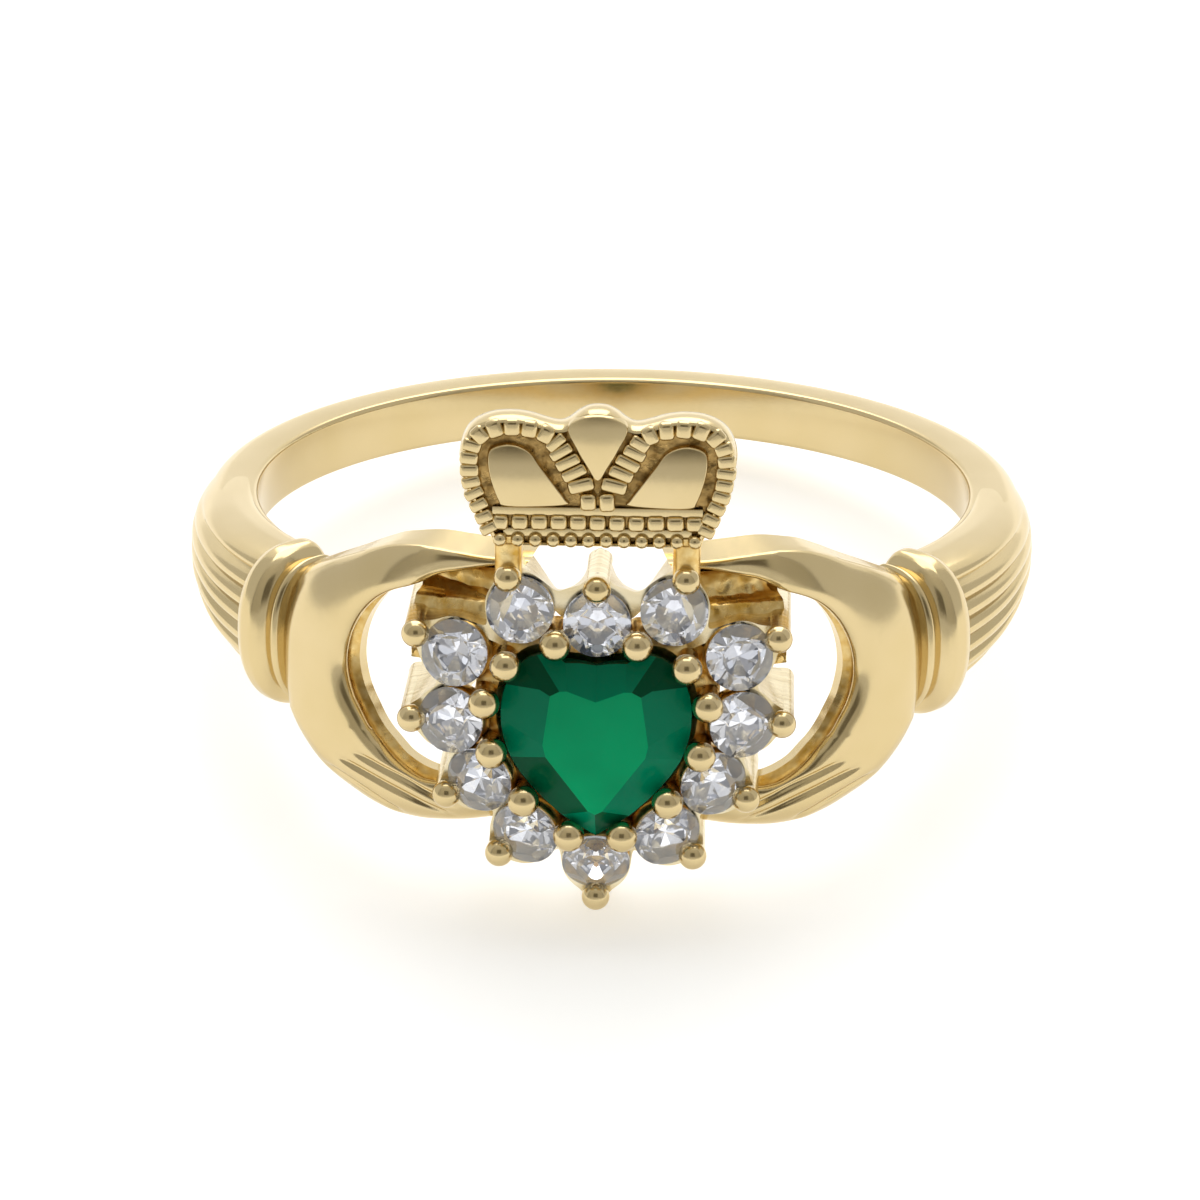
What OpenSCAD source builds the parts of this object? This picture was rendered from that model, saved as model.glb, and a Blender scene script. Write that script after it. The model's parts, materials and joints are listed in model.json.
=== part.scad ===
/* [Finger hole] */
// Diameter of the finger hole
bore_d = 17.3; // [16.5:0.1:18.2]

/* [Band] */
// Thickness of the plain band
band_thick = 1.25; // [1:0.05:1.6]
// Width of the plain band
band_width = 1.4; // [1.1:0.05:1.8]
// Radius of the rounding on the band's outer edges
band_round = 0.45; // [0.2:0.05:0.5]

/* [Sleeves] */
// Height of a pleated sleeve where it meets its cuff
sleeve_height = 3.4; // [3:0.1:3.8]
// Thickness of a sleeve where it meets its cuff
sleeve_thick = 1.95; // [1.5:0.05:2.3]
// Number of pleats in a sleeve
pleats = 7; // [5:1:8]
// Depth of the valleys between the pleats
pleat_depth = 0.16; // [0.08:0.02:0.24]

/* [Cuffs] */
// How far a cuff stands out from its sleeve
cuff_proud = 0.4; // [0.2:0.02:0.6]
// Width of a cuff round the finger, in degrees
cuff_angle = 7.5; // [6:0.5:9]

/* [Hands] */
// Height of a hand from its thumb to its lowest finger
hand_height = 6.9; // [6.5:0.1:7.3]
// Radius of a hand's outer face round the finger
hand_r = 11; // [10.8:0.05:11.3]
// Wall of a hand
hand_thick = 1.35; // [1:0.05:1.6]
// Diameter of the opening between thumb and fingers
palm_d = 4.7; // [4:0.1:4.9]
// Depth of the grooves between the fingers
finger_groove = 0.12; // [0.08:0.01:0.15]

/* [Heart stone] */
// Width and height of the heart-shaped stone
heart_w = 4.5; // [4.1:0.1:4.6]
// Height of the stone's crown above its girdle
heart_crown = 0.55; // [0.4:0.05:0.7]
// Depth of the stone's pavilion below its girdle
heart_pavilion = 1.5; // [1.2:0.1:1.7]

/* [Halo stones] */
// Diameter of a round stone
halo_d = 1.6; // [1.4:0.05:1.65]
// Space between the heart and the ring of round stones
halo_gap = 0.4; // [0.35:0.01:0.5]

/* [Claws] */
// Diameter of the bead on an outer claw
outer_bead_d = 0.66; // [0.56:0.02:0.72]
// Diameter of the bead on an inner claw
inner_bead_d = 0.74; // [0.6:0.02:0.8]
// Diameter of a claw's wire
claw_d = 0.5; // [0.4:0.02:0.54]
// Gap left round a stone in its seat
seat_gap = 0.04; // [0.03:0.01:0.06]

/* [Crown] */
// Width of the crown across its outer lobes
crown_w = 6.5; // [5.8:0.1:6.8]
// Height of the crown from its base to the top of the middle lobe
crown_h = 3.35; // [3:0.1:3.8]
// Thickness of the crown's plate
crown_thick = 0.8; // [0.6:0.05:1]
// Height of the relief on the crown
relief = 0.16; // [0.1:0.02:0.24]

/* [Hidden] */
bore_r = bore_d / 2;
band_r = bore_r + band_thick;
// The arms stand back from the finger by this, so that the hoop inside them is what it touches
arm_relief = 0.04;

// Angles round the finger, counted from the middle of the front
sleeve_start = 104;
cuff_start = 52;
cuff_end = cuff_start - cuff_angle;
hand_end = 13;
// The band runs on inside a cuff until this far short of its front edge
band_stop = 2;

// Heights along the finger, counted from the middle of the band
wrist_z = -0.5;
hand_z = -1.0;
heart_z = -2.0;
crown_base_z = 2.84;

// Distances from front to back: the heart's girdle stands in front of the hands' faces, and the
// rest of the head is measured from it
head_lift = 0.3;
heart_y = -(hand_r + head_lift);
crown_set = 0.1;
crown_y = heart_y + crown_set;
halo_set = 0.25;
halo_y = heart_y + halo_set;
seat_set = 0.75;
seat_y = heart_y + seat_set;
// Cuts that run right through are this long
through = 2 * bore_d;

// The sections of a sleeve: share of its arc, share of its height, share of its thickness,
// share of the pleats' depth
SLEEVE = [
    [0.00, 0.00, 0.00, 0.0],
    [0.12, 0.08, 0.12, 0.5],
    [0.28, 0.22, 0.34, 0.9],
    [0.45, 0.40, 0.58, 1.0],
    [0.62, 0.60, 0.78, 1.0],
    [0.80, 0.82, 0.93, 1.0],
    [0.97, 0.99, 1.00, 1.0]];
// The sections of a cuff: share of its arc, share of how far it stands out
CUFF = [
    [0.00, 0.00], [0.03, 0.45], [0.12, 0.80], [0.30, 1.00], [0.48, 0.88],
    [0.60, 0.55], [0.66, 0.18], [0.70, 0.50], [0.80, 0.66], [0.92, 0.50], [0.99, 0.10]];
// The sections of a hand: share of its arc, top and bottom edges as shares of its height
// from its middle, and how far the face is below its full radius, as a share of its wall
HAND = [
    [0.00, 0.335, -0.215, 0.12],
    [0.08, 0.320, -0.260, 0.10],
    [0.20, 0.355, -0.345, 0.06],
    [0.34, 0.405, -0.410, 0.02],
    [0.50, 0.465, -0.460, 0.00],
    [0.66, 0.505, -0.490, 0.03],
    [0.82, 0.515, -0.500, 0.22],
    [0.94, 0.515, -0.490, 0.42],
    [1.00, 0.510, -0.480, 0.50]];

// Each pleat takes three facets, and so the face of every section has this many
face_steps = 3 * pleats;
// A section's face is rounded by this power: 2 is a circle, and more is flatter
face_power = 2.6;
// How far a section's edges fall back from its crest, and its inner corners from its edges
sleeve_drop = 0.75;
hand_drop = 0.42;
inner_drop = 0.3;
// A sleeve starts this far inside the band that runs into it
start_inset = 0.04;
start_drop = 0.9 * band_round;

palm_angle = 22;
palm_z = -1.0;
// The palm is opened from this far below the hands' faces
palm_depth = 2.4;
// Grooves between the fingers: direction from the middle of the palm and distance from it, as a
// share of the palm's radius, where a groove starts near the cuff and where it ends
GROOVES = [
    [-44, 1.18, -96, 1.27],
    [-38, 1.31, -94, 1.43],
    [-40, 1.46, -82, 1.56]];
groove_steps = 3;

// Half of the ring of round stones, from the top down: place across and along the finger as
// shares of the ring's width, the way its outer claw points, how far the stone leans out, and
// how far out the bead of that claw stands as a share of the stone's radius
HALO = [
    [0.000, 0.425, 90, 5, 1.14],
    [0.263, 0.470, 72, 8, 1.07],
    [0.487, 0.312, 29, 16, 1.21],
    [0.500, 0.069, 4, 20, 1.05],
    [0.402, -0.147, -23, 22, 0.93],
    [0.243, -0.336, -37, 22, 0.84],
    [0.000, -0.437, -90, 24, 0.94]];
halo_w = heart_w + halo_d + 2 * halo_gap;
halo_count = 2 * (len(HALO) - 1);
// The inner claws of the same half: how far each stands inside the line between two round
// stones, and how far along it from the middle, as shares of a stone's width
INNER = [
    [0.32, -0.02],
    [0.50, 0.00],
    [0.49, 0.10],
    [0.41, 0.08],
    [0.40, 0.04],
    [0.35, 0.00]];

// Parts of a round stone as shares of its diameter
TABLE_SHARE = 0.55;
CROWN_SHARE = 0.15;
GIRDLE_SHARE = 0.04;
PAVILION_SHARE = 0.42;

heart_girdle = 0.12;
heart_table = 0.56;
// The pavilion turns steeper at this share of its depth, where its outline is this share wide
turn_depth = 0.62;
turn_w = 0.52;
culet_w = 0.08;
widest_share = 0.325;
lobe_share = 0.27;
notch_share = 0.06;

claw_r = claw_d / 2;
// Height of an outer claw's bead above the girdle of its stone
bead_lift = 0.38;
// Height of an inner claw's bead above the girdles of the round stones
inner_lift = 0.62;
// Height above the girdle at which an outer claw turns back to the finger
elbow_lift = 0.1;
collet_wall = 0.06;
collet_h = 0.6;
collet_lip = 0.02;
// The room under a round stone narrows to this share, and runs on below its seat
vent_share = 0.3;
vent_run = 0.3;
rail_r = 0.3;
inner_foot = 0.35;
// Two wires that meet are joined by a ball a little thicker than they are
elbow = 1.15;
// The claws' feet stand this far outside the finger hole in the middle, draw in a little
// towards the middle and fall back towards the sides
gallery_lift = 0.35;
gallery_y = -(bore_r + gallery_lift);
foot_in = 0.97;
foot_fall = 0.3;
// The wall under the head takes this share of the room between the finger and the hands' faces
base_share = 0.55;
base_r = bore_r + base_share * (hand_r - bore_r);
base_half_angle = 17;
base_top = 1.75;
base_bottom = -4.1;
azure_r = 1.5;
azure_rise = 0.3;

// Parts of the crown as shares of its width and height
lobe_r = 0.2 * crown_w;
lobe_x = crown_w / 2 - lobe_r;
lobe_z = 0.62 * crown_h;
lobe_lap = 0.02;
top_r = 0.155 * crown_w;
crown_base_w = 0.77 * crown_w;
widest_z = 0.52 * crown_h;
// The rope follows each outer lobe with this many beads, a step apart from a first direction
rope_r = 0.19;
rope_in = 1.35;
rope_count = 9;
rope_first = -20;
rope_step = 20;
// Straight runs of the rope on half of the crown: number of beads, then the place of the first
// and of the last, across and up, as shares of the crown's width and height
ROPE = [
    [6, 0.12, 0.72, 0.035, 0.26],
    [3, 0.44, 0.42, 0.40, 0.24]];
// Rows of beads along the base: number on each side of the middle one, their pitch as a share
// of the crown's width, their height as a share of its height, and their size as a share of
// the rope's
BEAD_ROWS = [
    [5, 0.066, 0.153, 1.0],
    [6, 0.056, 0.036, 0.7]];
// Corners of the panels: place across and up, and the radius of the corner, as shares of the
// crown's width, height and width
PETAL = [[0.33, 0.60, 0.05], [0.36, 0.34, 0.03], [0.15, 0.34, 0.025]];
SHIELD = [[-0.06, 0.86, 0.045], [0.06, 0.86, 0.045], [0, 0.46, 0.02]];
// The crown's posts reach this far into what they join, and are this much thicker than a claw
post_lap = 0.25;
post_extra = 0.04;

gold = "#d9c48a";

$fn = 48;
large_fn = 160;
small_fn = 24;
tiny_fn = 12;

// The ring rests on its lowest claw and on the lower edge of the band at the back, so the
// slope between the two is taken out of the whole model
low_claw = outer_bead_at(len(HALO) - 1, 1);
back_edge = [0, band_r - band_round, -band_width / 2 + band_round];
rest_run = back_edge.y - low_claw.y;
rest_rise = back_edge.z - low_claw.z;
rest_tilt = atan2(rest_rise, rest_run)
    - asin((band_round - outer_bead_d / 2) / norm([rest_run, rest_rise]));

function mix(a, b, t) = a + (b - a) * t;
function at_angle(r, a, z) = [r * sin(a), -r * cos(a), z];

// Directions at a round stone: outwards in the face of the ring of stones, and out of its table
function halo_out(i, side) =
    let (w = HALO[i][2], t = HALO[i][3]) [side * cos(w) * cos(t), sin(t), sin(w) * cos(t)];
function halo_up(i, side) =
    let (w = HALO[i][2], t = HALO[i][3]) [side * cos(w) * sin(t), -cos(t), sin(w) * sin(t)];
function halo_at(i, side) =
    [side * HALO[i][0] * halo_w, halo_y, heart_z + HALO[i][1] * halo_w];
function outer_bead_at(i, side) =
    halo_at(i, side) + halo_out(i, side) * HALO[i][4] * halo_d / 2 + halo_up(i, side) * bead_lift;
function outer_post_at(i, side) =
    halo_at(i, side) + halo_out(i, side) * (halo_d / 2 + claw_r);

// An inner claw stands between two round stones, a little nearer the heart
function inner_bead_at(i, side) =
    let (
        middle = (halo_at(i, side) + halo_at(i + 1, side)) / 2,
        across = halo_at(i + 1, side) - halo_at(i, side),
        along = across / norm(across),
        inward = [along.z, 0, -along.x] * side
    ) middle + (inward * INNER[i][0] + along * INNER[i][1]) * halo_d + [0, -inner_lift, 0];

// One arm: the sections run from the narrow band over the sleeve and the cuff to the fingers.
// A section is [angle, top, bottom, crest radius, drop to its edges, pleat depth, inner radius,
// drop of its inner corners]
function sleeve_section(row) = [
    mix(sleeve_start, cuff_start, row[0]),
    mix(band_width / 2 - start_inset, wrist_z + sleeve_height / 2, row[1]),
    mix(-band_width / 2 + start_inset, wrist_z - sleeve_height / 2, row[1]),
    mix(band_r - start_inset, bore_r + sleeve_thick, row[2]),
    mix(start_drop, sleeve_drop, row[2]),
    pleat_depth * row[3],
    bore_r + arm_relief,
    inner_drop * row[2]];
function cuff_section(row) = [
    mix(cuff_start, cuff_end, row[0]),
    wrist_z + sleeve_height / 2 + cuff_proud * row[1],
    wrist_z - sleeve_height / 2 - cuff_proud * row[1],
    bore_r + sleeve_thick + cuff_proud * row[1],
    sleeve_drop, 0,
    bore_r + arm_relief,
    inner_drop];
function hand_section(row) = [
    mix(cuff_end, hand_end, row[0]),
    hand_z + hand_height * row[1],
    hand_z + hand_height * row[2],
    hand_r - hand_thick * row[3],
    hand_drop, 0,
    row[0] == 0 ? bore_r + arm_relief : hand_r - hand_thick,
    inner_drop / 2];
arm_sections = concat(
    [for (row = SLEEVE) sleeve_section(row)],
    [for (row = CUFF) cuff_section(row)],
    [for (row = HAND) hand_section(row)]);

// The points of a section: its face from the bottom edge to the top, then its inner corners
function face_radius(s, section) =
    let (x = 2 * s - 1)
    section[3] - section[4] * (1 - sqrt(max(0, 1 - pow(abs(x), face_power))))
        - section[5] * (1 - abs(sin(180 * pleats * s)));
function section_points(section) = concat(
    [for (i = [0:face_steps])
        let (s = i / face_steps)
        at_angle(face_radius(s, section), section[0], mix(section[2], section[1], s))],
    [at_angle(section[6], section[0], section[1] - section[7]),
        at_angle(section[6], section[0], section[2] + section[7])]);

module loft(sections) {
    count = face_steps + 3;
    last = len(sections) - 1;
    points = [for (section = sections) each section_points(section)];
    walls = [for (k = [0:last - 1]) for (i = [0:count - 1])
        let (a = k * count + i, b = k * count + (i + 1) % count) [a, a + count, b + count, b]];
    ends = [[for (i = [0:count - 1]) i], [for (i = [count - 1:-1:0]) last * count + i]];
    polyhedron(points, concat(walls, ends), convexity = 8);
}

// A round wire between two points
module wire(from, to, r, steps = $fn) {
    way = to - from;
    translate(from)
        rotate([0, acos(way.z / norm(way)), atan2(way.y, way.x)])
            cylinder(h = norm(way), r = r, $fn = steps);
}

module both_sides() {
    children();
    mirror([1, 0, 0])
        children();
}

// The band: a hoop that is rounded outside, and runs inside the sleeves up to both cuffs
module band() {
    arc = 360 - 2 * (cuff_end + band_stop);
    rotate([0, 0, 90 - arc / 2])
        rotate_extrude(angle = arc, $fn = large_fn)
            difference() {
                translate([bore_r, -band_width / 2])
                    square([band_thick, band_width]);
                for (side = [-1, 1])
                    band_corner(side);
            }
}

module band_corner(side) {
    corner = [band_r - band_round, side * (band_width / 2 - band_round)];
    difference() {
        translate([corner.x, side < 0 ? corner.y - 2 * band_round : corner.y])
            square(2 * band_round);
        translate(corner)
            circle(r = band_round);
    }
}

// A sleeve, cuff and hand, with the opening between its thumb and fingers
module arm() {
    difference() {
        loft(arm_sections);
        palm_axis()
            cylinder(h = 2 * palm_depth, r = palm_d / 2);
        for (row = GROOVES)
            finger_line(row);
    }
}

module palm_axis() {
    translate([0, 0, palm_z])
        rotate([0, 0, palm_angle])
            rotate([90, 0, 0])
                translate([0, 0, hand_r - palm_depth])
                    children();
}

// A point on a hand's face, from its direction and distance from the middle of the palm
function hand_share(u, column) = lookup(u, [for (row = HAND) [row[0], row[column]]]);
function on_hand(direction, distance) =
    let (
        a = palm_angle + asin(distance * cos(direction) / hand_r),
        z = palm_z + distance * sin(direction),
        u = (cuff_end - a) / (cuff_end - hand_end),
        section = hand_section([u, hand_share(u, 1), hand_share(u, 2), hand_share(u, 3)]),
        s = (z - section[2]) / (section[1] - section[2])
    ) at_angle(face_radius(s, section), a, z);
function groove_point(row, t) =
    on_hand(mix(row[0], row[2], t), mix(row[1], row[3], t) * palm_d / 2);

module finger_line(row) {
    for (k = [1:groove_steps]) {
        wire(groove_point(row, (k - 1) / groove_steps), groove_point(row, k / groove_steps),
            finger_groove, tiny_fn);
        if (k < groove_steps)
            translate(groove_point(row, k / groove_steps))
                sphere(r = finger_groove, $fn = tiny_fn);
    }
}

// The wall under the head, with an opening behind the heart stone
module head_base() {
    half = base_r * sin(base_half_angle);
    difference() {
        intersection() {
            cylinder(h = through, r = base_r, center = true, $fn = large_fn);
            translate([-half, -2 * base_r, base_bottom])
                cube([2 * half, 2 * base_r, base_top - base_bottom]);
        }
        cylinder(h = through, r = bore_r, center = true, $fn = large_fn);
        translate([0, 0, heart_z + azure_rise])
            rotate([90, 0, 0])
                cylinder(h = through, r = azure_r);
    }
}

// The seat ring under one round stone
module collet(i, side) {
    up = halo_up(i, side);
    at = halo_at(i, side);
    wire(at - up * collet_h, at + up * collet_lip, halo_d / 2 + seat_gap + collet_wall);
}

// An outer claw: a bead on a wire that turns beside its stone and runs back to the gallery
module outer_claw(i, side) {
    bead = outer_bead_at(i, side);
    bend = outer_post_at(i, side) + halo_up(i, side) * elbow_lift;
    translate(bead)
        sphere(d = outer_bead_d, $fn = small_fn);
    wire(bead, bend, claw_r);
    translate(bend)
        sphere(r = claw_r * elbow, $fn = small_fn);
    wire(bend, gallery_foot(i, side), claw_r);
}

function gallery_foot(i, side) =
    let (post = outer_post_at(i, side))
    [post.x * foot_in, gallery_y + foot_fall * pow(post.x, 2) / bore_r, post.z];

// An inner claw: a bead on a wire that runs back to the seat of the heart
module inner_claw(i, side) {
    bead = inner_bead_at(i, side);
    translate(bead)
        sphere(d = inner_bead_d, $fn = small_fn);
    wire(bead, [bead.x, seat_y + inner_foot, bead.z], claw_r);
}

// The wire that joins the feet of the outer claws
module gallery_rail() {
    for (side = [-1, 1])
        for (i = [0:len(HALO) - 2]) {
            wire(gallery_foot(i, side), gallery_foot(i + 1, side), rail_r);
            translate(gallery_foot(i + 1, side))
                sphere(r = rail_r * elbow, $fn = small_fn);
        }
}

// Half of the heart's outline, from its tip up to the notch, for a heart of width 1
heart_half = concat(
    [for (i = [0:6])
        let (u = 1 - i / 7) [0.5 * (1 - pow(u, 2.2)), (0.5 - widest_share) - (1 - widest_share) * u]],
    [for (i = [0:4])
        let (w = 90 * i / 4)
        [lobe_share + (0.5 - lobe_share) * cos(w), 0.5 - widest_share + widest_share * sin(w)]],
    [for (x = [0.15, 0.06])
        [x, 0.5 - notch_share * pow(1 - x / lobe_share, 2)]],
    [[0, 0.5 - notch_share]]);
heart_outline = concat(
    heart_half,
    [for (i = [len(heart_half) - 2:-1:1]) [-heart_half[i].x, heart_half[i].y]]);

// The heart stone, larger by a gap all round when it is used to cut its own seat
module heart_solid(gap) {
    count = len(heart_outline);
    wide = heart_w + 2 * gap;
    levels = [
        [heart_table, -heart_crown - gap],
        [1, -gap],
        [1, heart_girdle + gap],
        [turn_w, heart_girdle + turn_depth * heart_pavilion + gap],
        [culet_w, heart_girdle + heart_pavilion + gap]];
    points = [for (level = levels) for (p = heart_outline)
        [p.x * wide * level[0], heart_y + level[1], heart_z + p.y * wide * level[0]]];
    walls = [for (k = [0:len(levels) - 2]) for (i = [0:count - 1])
        let (a = k * count + i, b = k * count + (i + 1) % count) [a, b, b + count, a + count]];
    last = (len(levels) - 1) * count;
    ends = [[for (i = [count - 1:-1:0]) i], [for (i = [0:count - 1]) last + i]];
    polyhedron(points, concat(walls, ends), convexity = 4);
}

// The rail on which the heart's girdle sits
module heart_seat() {
    for (side = [-1, 1])
        for (i = [0:len(HALO) - 2])
            seat_wire(inner_bead_at(i, side), i < len(HALO) - 2
                ? inner_bead_at(i + 1, side)
                : inner_bead_at(i, -side));
    seat_wire(inner_bead_at(0, -1), inner_bead_at(0, 1));
}

module seat_wire(from, to) {
    wire([from.x, seat_y, from.z], [to.x, seat_y, to.z], rail_r);
    translate([to.x, seat_y, to.z])
        sphere(r = rail_r * elbow, $fn = small_fn);
}

// A round stone that faces up, with its girdle at zero
module round_stone() {
    r = halo_d / 2;
    table = [for (i = [0:7]) [r * TABLE_SHARE * cos(45 * i), r * TABLE_SHARE * sin(45 * i),
        halo_d * CROWN_SHARE]];
    girdle = [for (i = [0:15]) [r * cos(22.5 * i), r * sin(22.5 * i)]];
    points = concat(
        table,
        [for (p = girdle) [p.x, p.y, 0]],
        [for (p = girdle) [p.x, p.y, -halo_d * GIRDLE_SHARE]],
        [[0, 0, -halo_d * (GIRDLE_SHARE + PAVILION_SHARE)]]);
    crown = [for (j = [0:7]) each [
        [j, 8 + 2 * j, 8 + (2 * j + 15) % 16],
        [j, 8 + 2 * j + 1, 8 + 2 * j],
        [j, (j + 1) % 8, 8 + 2 * j + 1]]];
    belt = [for (i = [0:15]) [8 + i, 8 + (i + 1) % 16, 24 + (i + 1) % 16, 24 + i]];
    pavilion = [for (i = [0:15]) [24 + i, 24 + (i + 1) % 16, 40]];
    polyhedron(points, concat([[for (i = [7:-1:0]) i]], crown, belt, pavilion), convexity = 4);
}

// The room that a round stone needs in its seat, open towards the culet
module round_room() {
    r = halo_d / 2 + seat_gap;
    girdle = halo_d * GIRDLE_SHARE + seat_gap;
    rotate_extrude()
        polygon([
            [0, halo_d * CROWN_SHARE + seat_gap],
            [r * TABLE_SHARE, halo_d * CROWN_SHARE + seat_gap],
            [r, seat_gap],
            [r, -girdle],
            [vent_share * r, -girdle - (1 - vent_share) * halo_d * PAVILION_SHARE],
            [vent_share * r, -collet_h - vent_run],
            [0, -collet_h - vent_run]]);
}

module at_halo(i, side) {
    up = halo_up(i, side);
    translate(halo_at(i, side))
        rotate([0, acos(up.z), atan2(up.y, up.x)])
            children();
}

// The crown: three lobes on a tapered body, with ropes, panels and two rows of beads
module crown_plate() {
    translate([0, crown_y + crown_thick, crown_base_z])
        rotate([90, 0, 0])
            linear_extrude(crown_thick) {
                polygon([
                    [-crown_base_w / 2, 0],
                    [crown_base_w / 2, 0],
                    [crown_w / 2 - lobe_lap, widest_z],
                    [lobe_x, lobe_z],
                    [-lobe_x, lobe_z],
                    [-crown_w / 2 + lobe_lap, widest_z]]);
                for (x = [-lobe_x, lobe_x])
                    translate([x, lobe_z])
                        circle(r = lobe_r);
                translate([0, crown_h - top_r])
                    circle(r = top_r);
            }
}

module crown_point(x, z, r) {
    translate([x, crown_y, crown_base_z + z])
        sphere(r = r, $fn = small_fn);
}

module crown_rope() {
    turn = lobe_r - rope_in * rope_r;
    for (side = [-1, 1]) {
        for (k = [0:rope_count - 1])
            let (a = rope_first + k * rope_step)
                crown_point(side * (lobe_x + turn * cos(a)), lobe_z + turn * sin(a), rope_r);
        for (run = ROPE)
            for (k = [0:run[0] - 1])
                let (t = k / (run[0] - 1))
                    crown_point(
                        side * mix(run[1], run[3], t) * crown_w, mix(run[2], run[4], t) * crown_h,
                        rope_r);
    }
}

module crown_beads() {
    for (row = BEAD_ROWS)
        for (k = [-row[0]:row[0]])
            crown_point(k * row[1] * crown_w, row[2] * crown_h, rope_r * row[3]);
}

module crown_panel(corners) {
    hull()
        for (c = corners)
            translate([c[0] * crown_w, crown_y - relief + c[2] * crown_w / 2,
                crown_base_z + c[1] * crown_h])
                sphere(r = c[2] * crown_w, $fn = small_fn);
}

module crown() {
    crown_plate();
    crown_rope();
    crown_beads();
    both_sides()
        crown_panel(PETAL);
    crown_panel(SHIELD);
}

// The two posts that carry the crown stand on the claws beside the top stone
module crown_posts() {
    foot = outer_bead_at(1, 1);
    y = crown_y + crown_thick / 2;
    both_sides()
        wire([foot.x, y, foot.z - post_lap], [foot.x, y, crown_base_z + post_lap],
            claw_r + post_extra);
}

module head() {
    gallery_rail();
    heart_seat();
    for (side = [-1, 1])
        for (i = [0:len(HALO) - 1])
            if (side == 1 || HALO[i][0] > 0) {
                collet(i, side);
                outer_claw(i, side);
            }
    for (side = [-1, 1])
        for (i = [0:len(HALO) - 2])
            inner_claw(i, side);
}

// The head and the wall under it, with the seats cut to the stones
module cut_head() {
    difference() {
        union() {
            head_base();
            head();
            crown_posts();
        }
        heart_solid(seat_gap);
        for (side = [-1, 1])
            for (i = [0:len(HALO) - 1])
                if (side == 1 || HALO[i][0] > 0)
                    at_halo(i, side)
                        round_room();
    }
}

// All the gold is cast and soldered into one piece
module ring_mount() {
    color(gold)
        rotate([-rest_tilt, 0, 0]) {
            band();
            both_sides()
                arm();
            cut_head();
            crown();
        }
}

module heart_stone() {
    color("#0f7a4e")
        rotate([-rest_tilt, 0, 0])
            heart_solid(0);
}

// Stones are counted from the top one, first down the side of positive x
module halo_stone(k) {
    half = len(HALO) - 1;
    i = k <= half + 1 ? k - 1 : 2 * half + 1 - k;
    color("#e8ecef")
        rotate([-rest_tilt, 0, 0])
            at_halo(i, k <= half + 1 ? 1 : -1)
                round_stone();
}

ring_mount();
heart_stone();
for (k = [1:halo_count])
    halo_stone(k);
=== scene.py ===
import bpy
import bmesh
import json
import math
from mathutils import Matrix, Vector, noise


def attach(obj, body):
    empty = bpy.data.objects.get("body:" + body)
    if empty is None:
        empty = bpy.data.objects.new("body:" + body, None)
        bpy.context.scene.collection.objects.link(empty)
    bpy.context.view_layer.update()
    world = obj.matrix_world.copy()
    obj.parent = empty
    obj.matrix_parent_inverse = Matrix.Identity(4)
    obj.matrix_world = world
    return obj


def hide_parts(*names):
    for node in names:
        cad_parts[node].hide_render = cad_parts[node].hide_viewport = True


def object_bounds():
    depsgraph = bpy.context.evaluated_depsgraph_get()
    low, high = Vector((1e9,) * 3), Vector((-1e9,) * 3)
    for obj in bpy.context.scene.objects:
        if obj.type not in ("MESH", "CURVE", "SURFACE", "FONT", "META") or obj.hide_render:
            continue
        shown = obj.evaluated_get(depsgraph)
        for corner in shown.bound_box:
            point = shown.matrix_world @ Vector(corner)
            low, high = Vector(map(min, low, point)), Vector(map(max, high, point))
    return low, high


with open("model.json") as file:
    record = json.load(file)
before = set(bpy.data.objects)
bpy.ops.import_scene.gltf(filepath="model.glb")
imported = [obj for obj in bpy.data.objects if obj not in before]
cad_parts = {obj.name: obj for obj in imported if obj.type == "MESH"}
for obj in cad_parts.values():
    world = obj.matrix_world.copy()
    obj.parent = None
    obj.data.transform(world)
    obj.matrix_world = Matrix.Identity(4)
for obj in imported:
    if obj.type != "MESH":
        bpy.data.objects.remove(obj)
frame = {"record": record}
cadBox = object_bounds()
scene = bpy.context.scene
print("loaded the solids")

# Pieces are built in millimetres on the ring's own axes, with the finger along Z and the head
# towards -Y, and are then laid down by the lean that the ring takes at rest
ring = {
    "boreRadius": 8.65,
    "bandRadius": 9.9,
    "bandWidth": 1.4,
    "crownY": -11.25,    # front of the crown
    "wristZ": -0.86,     # middle plane of the sleeves and cuffs
    "cornerDraw": 0.22,  # how much the points round an arm's section crowd towards its corners
}
holeAxis = frame["record"]["mounts"][0]["axis"]
lean = math.atan2(holeAxis[1], holeAxis[2])
layDown = Matrix.Rotation(-lean, 4, "X")
toRow = layDown @ Matrix.Scale(0.001, 4)


def mix(a, b, t):
    return a + (b - a) * t


def smooth(t):
    t = min(1, max(0, t))
    return t * t * (3 - 2 * t)


def atAngle(radius, degrees, z):
    a = math.radians(degrees)
    return Vector((radius * math.sin(a), -radius * math.cos(a), z))


# A value read from a table of (place, value) rows: a smooth curve that never overshoots a row
def readTable(rows, at):
    if at <= rows[0][0]:
        return rows[0][1]
    if at >= rows[-1][0]:
        return rows[-1][1]
    rises = [(d - b) / (c - a) for (a, b), (c, d) in zip(rows, rows[1:])]
    slopes = [rises[0]]
    for before, after in zip(rises, rises[1:]):
        slopes.append(0 if before * after <= 0 else 2 * before * after / (before + after))
    slopes.append(rises[-1])
    k = next(i for i in range(len(rises)) if at <= rows[i + 1][0])
    width = rows[k + 1][0] - rows[k][0]
    t = (at - rows[k][0]) / width
    return ((2 * t ** 3 - 3 * t ** 2 + 1) * rows[k][1] + (t ** 3 - 2 * t ** 2 + t) * width * slopes[k]
            + (3 * t ** 2 - 2 * t ** 3) * rows[k + 1][1] + (t ** 3 - t ** 2) * width * slopes[k + 1])


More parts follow.
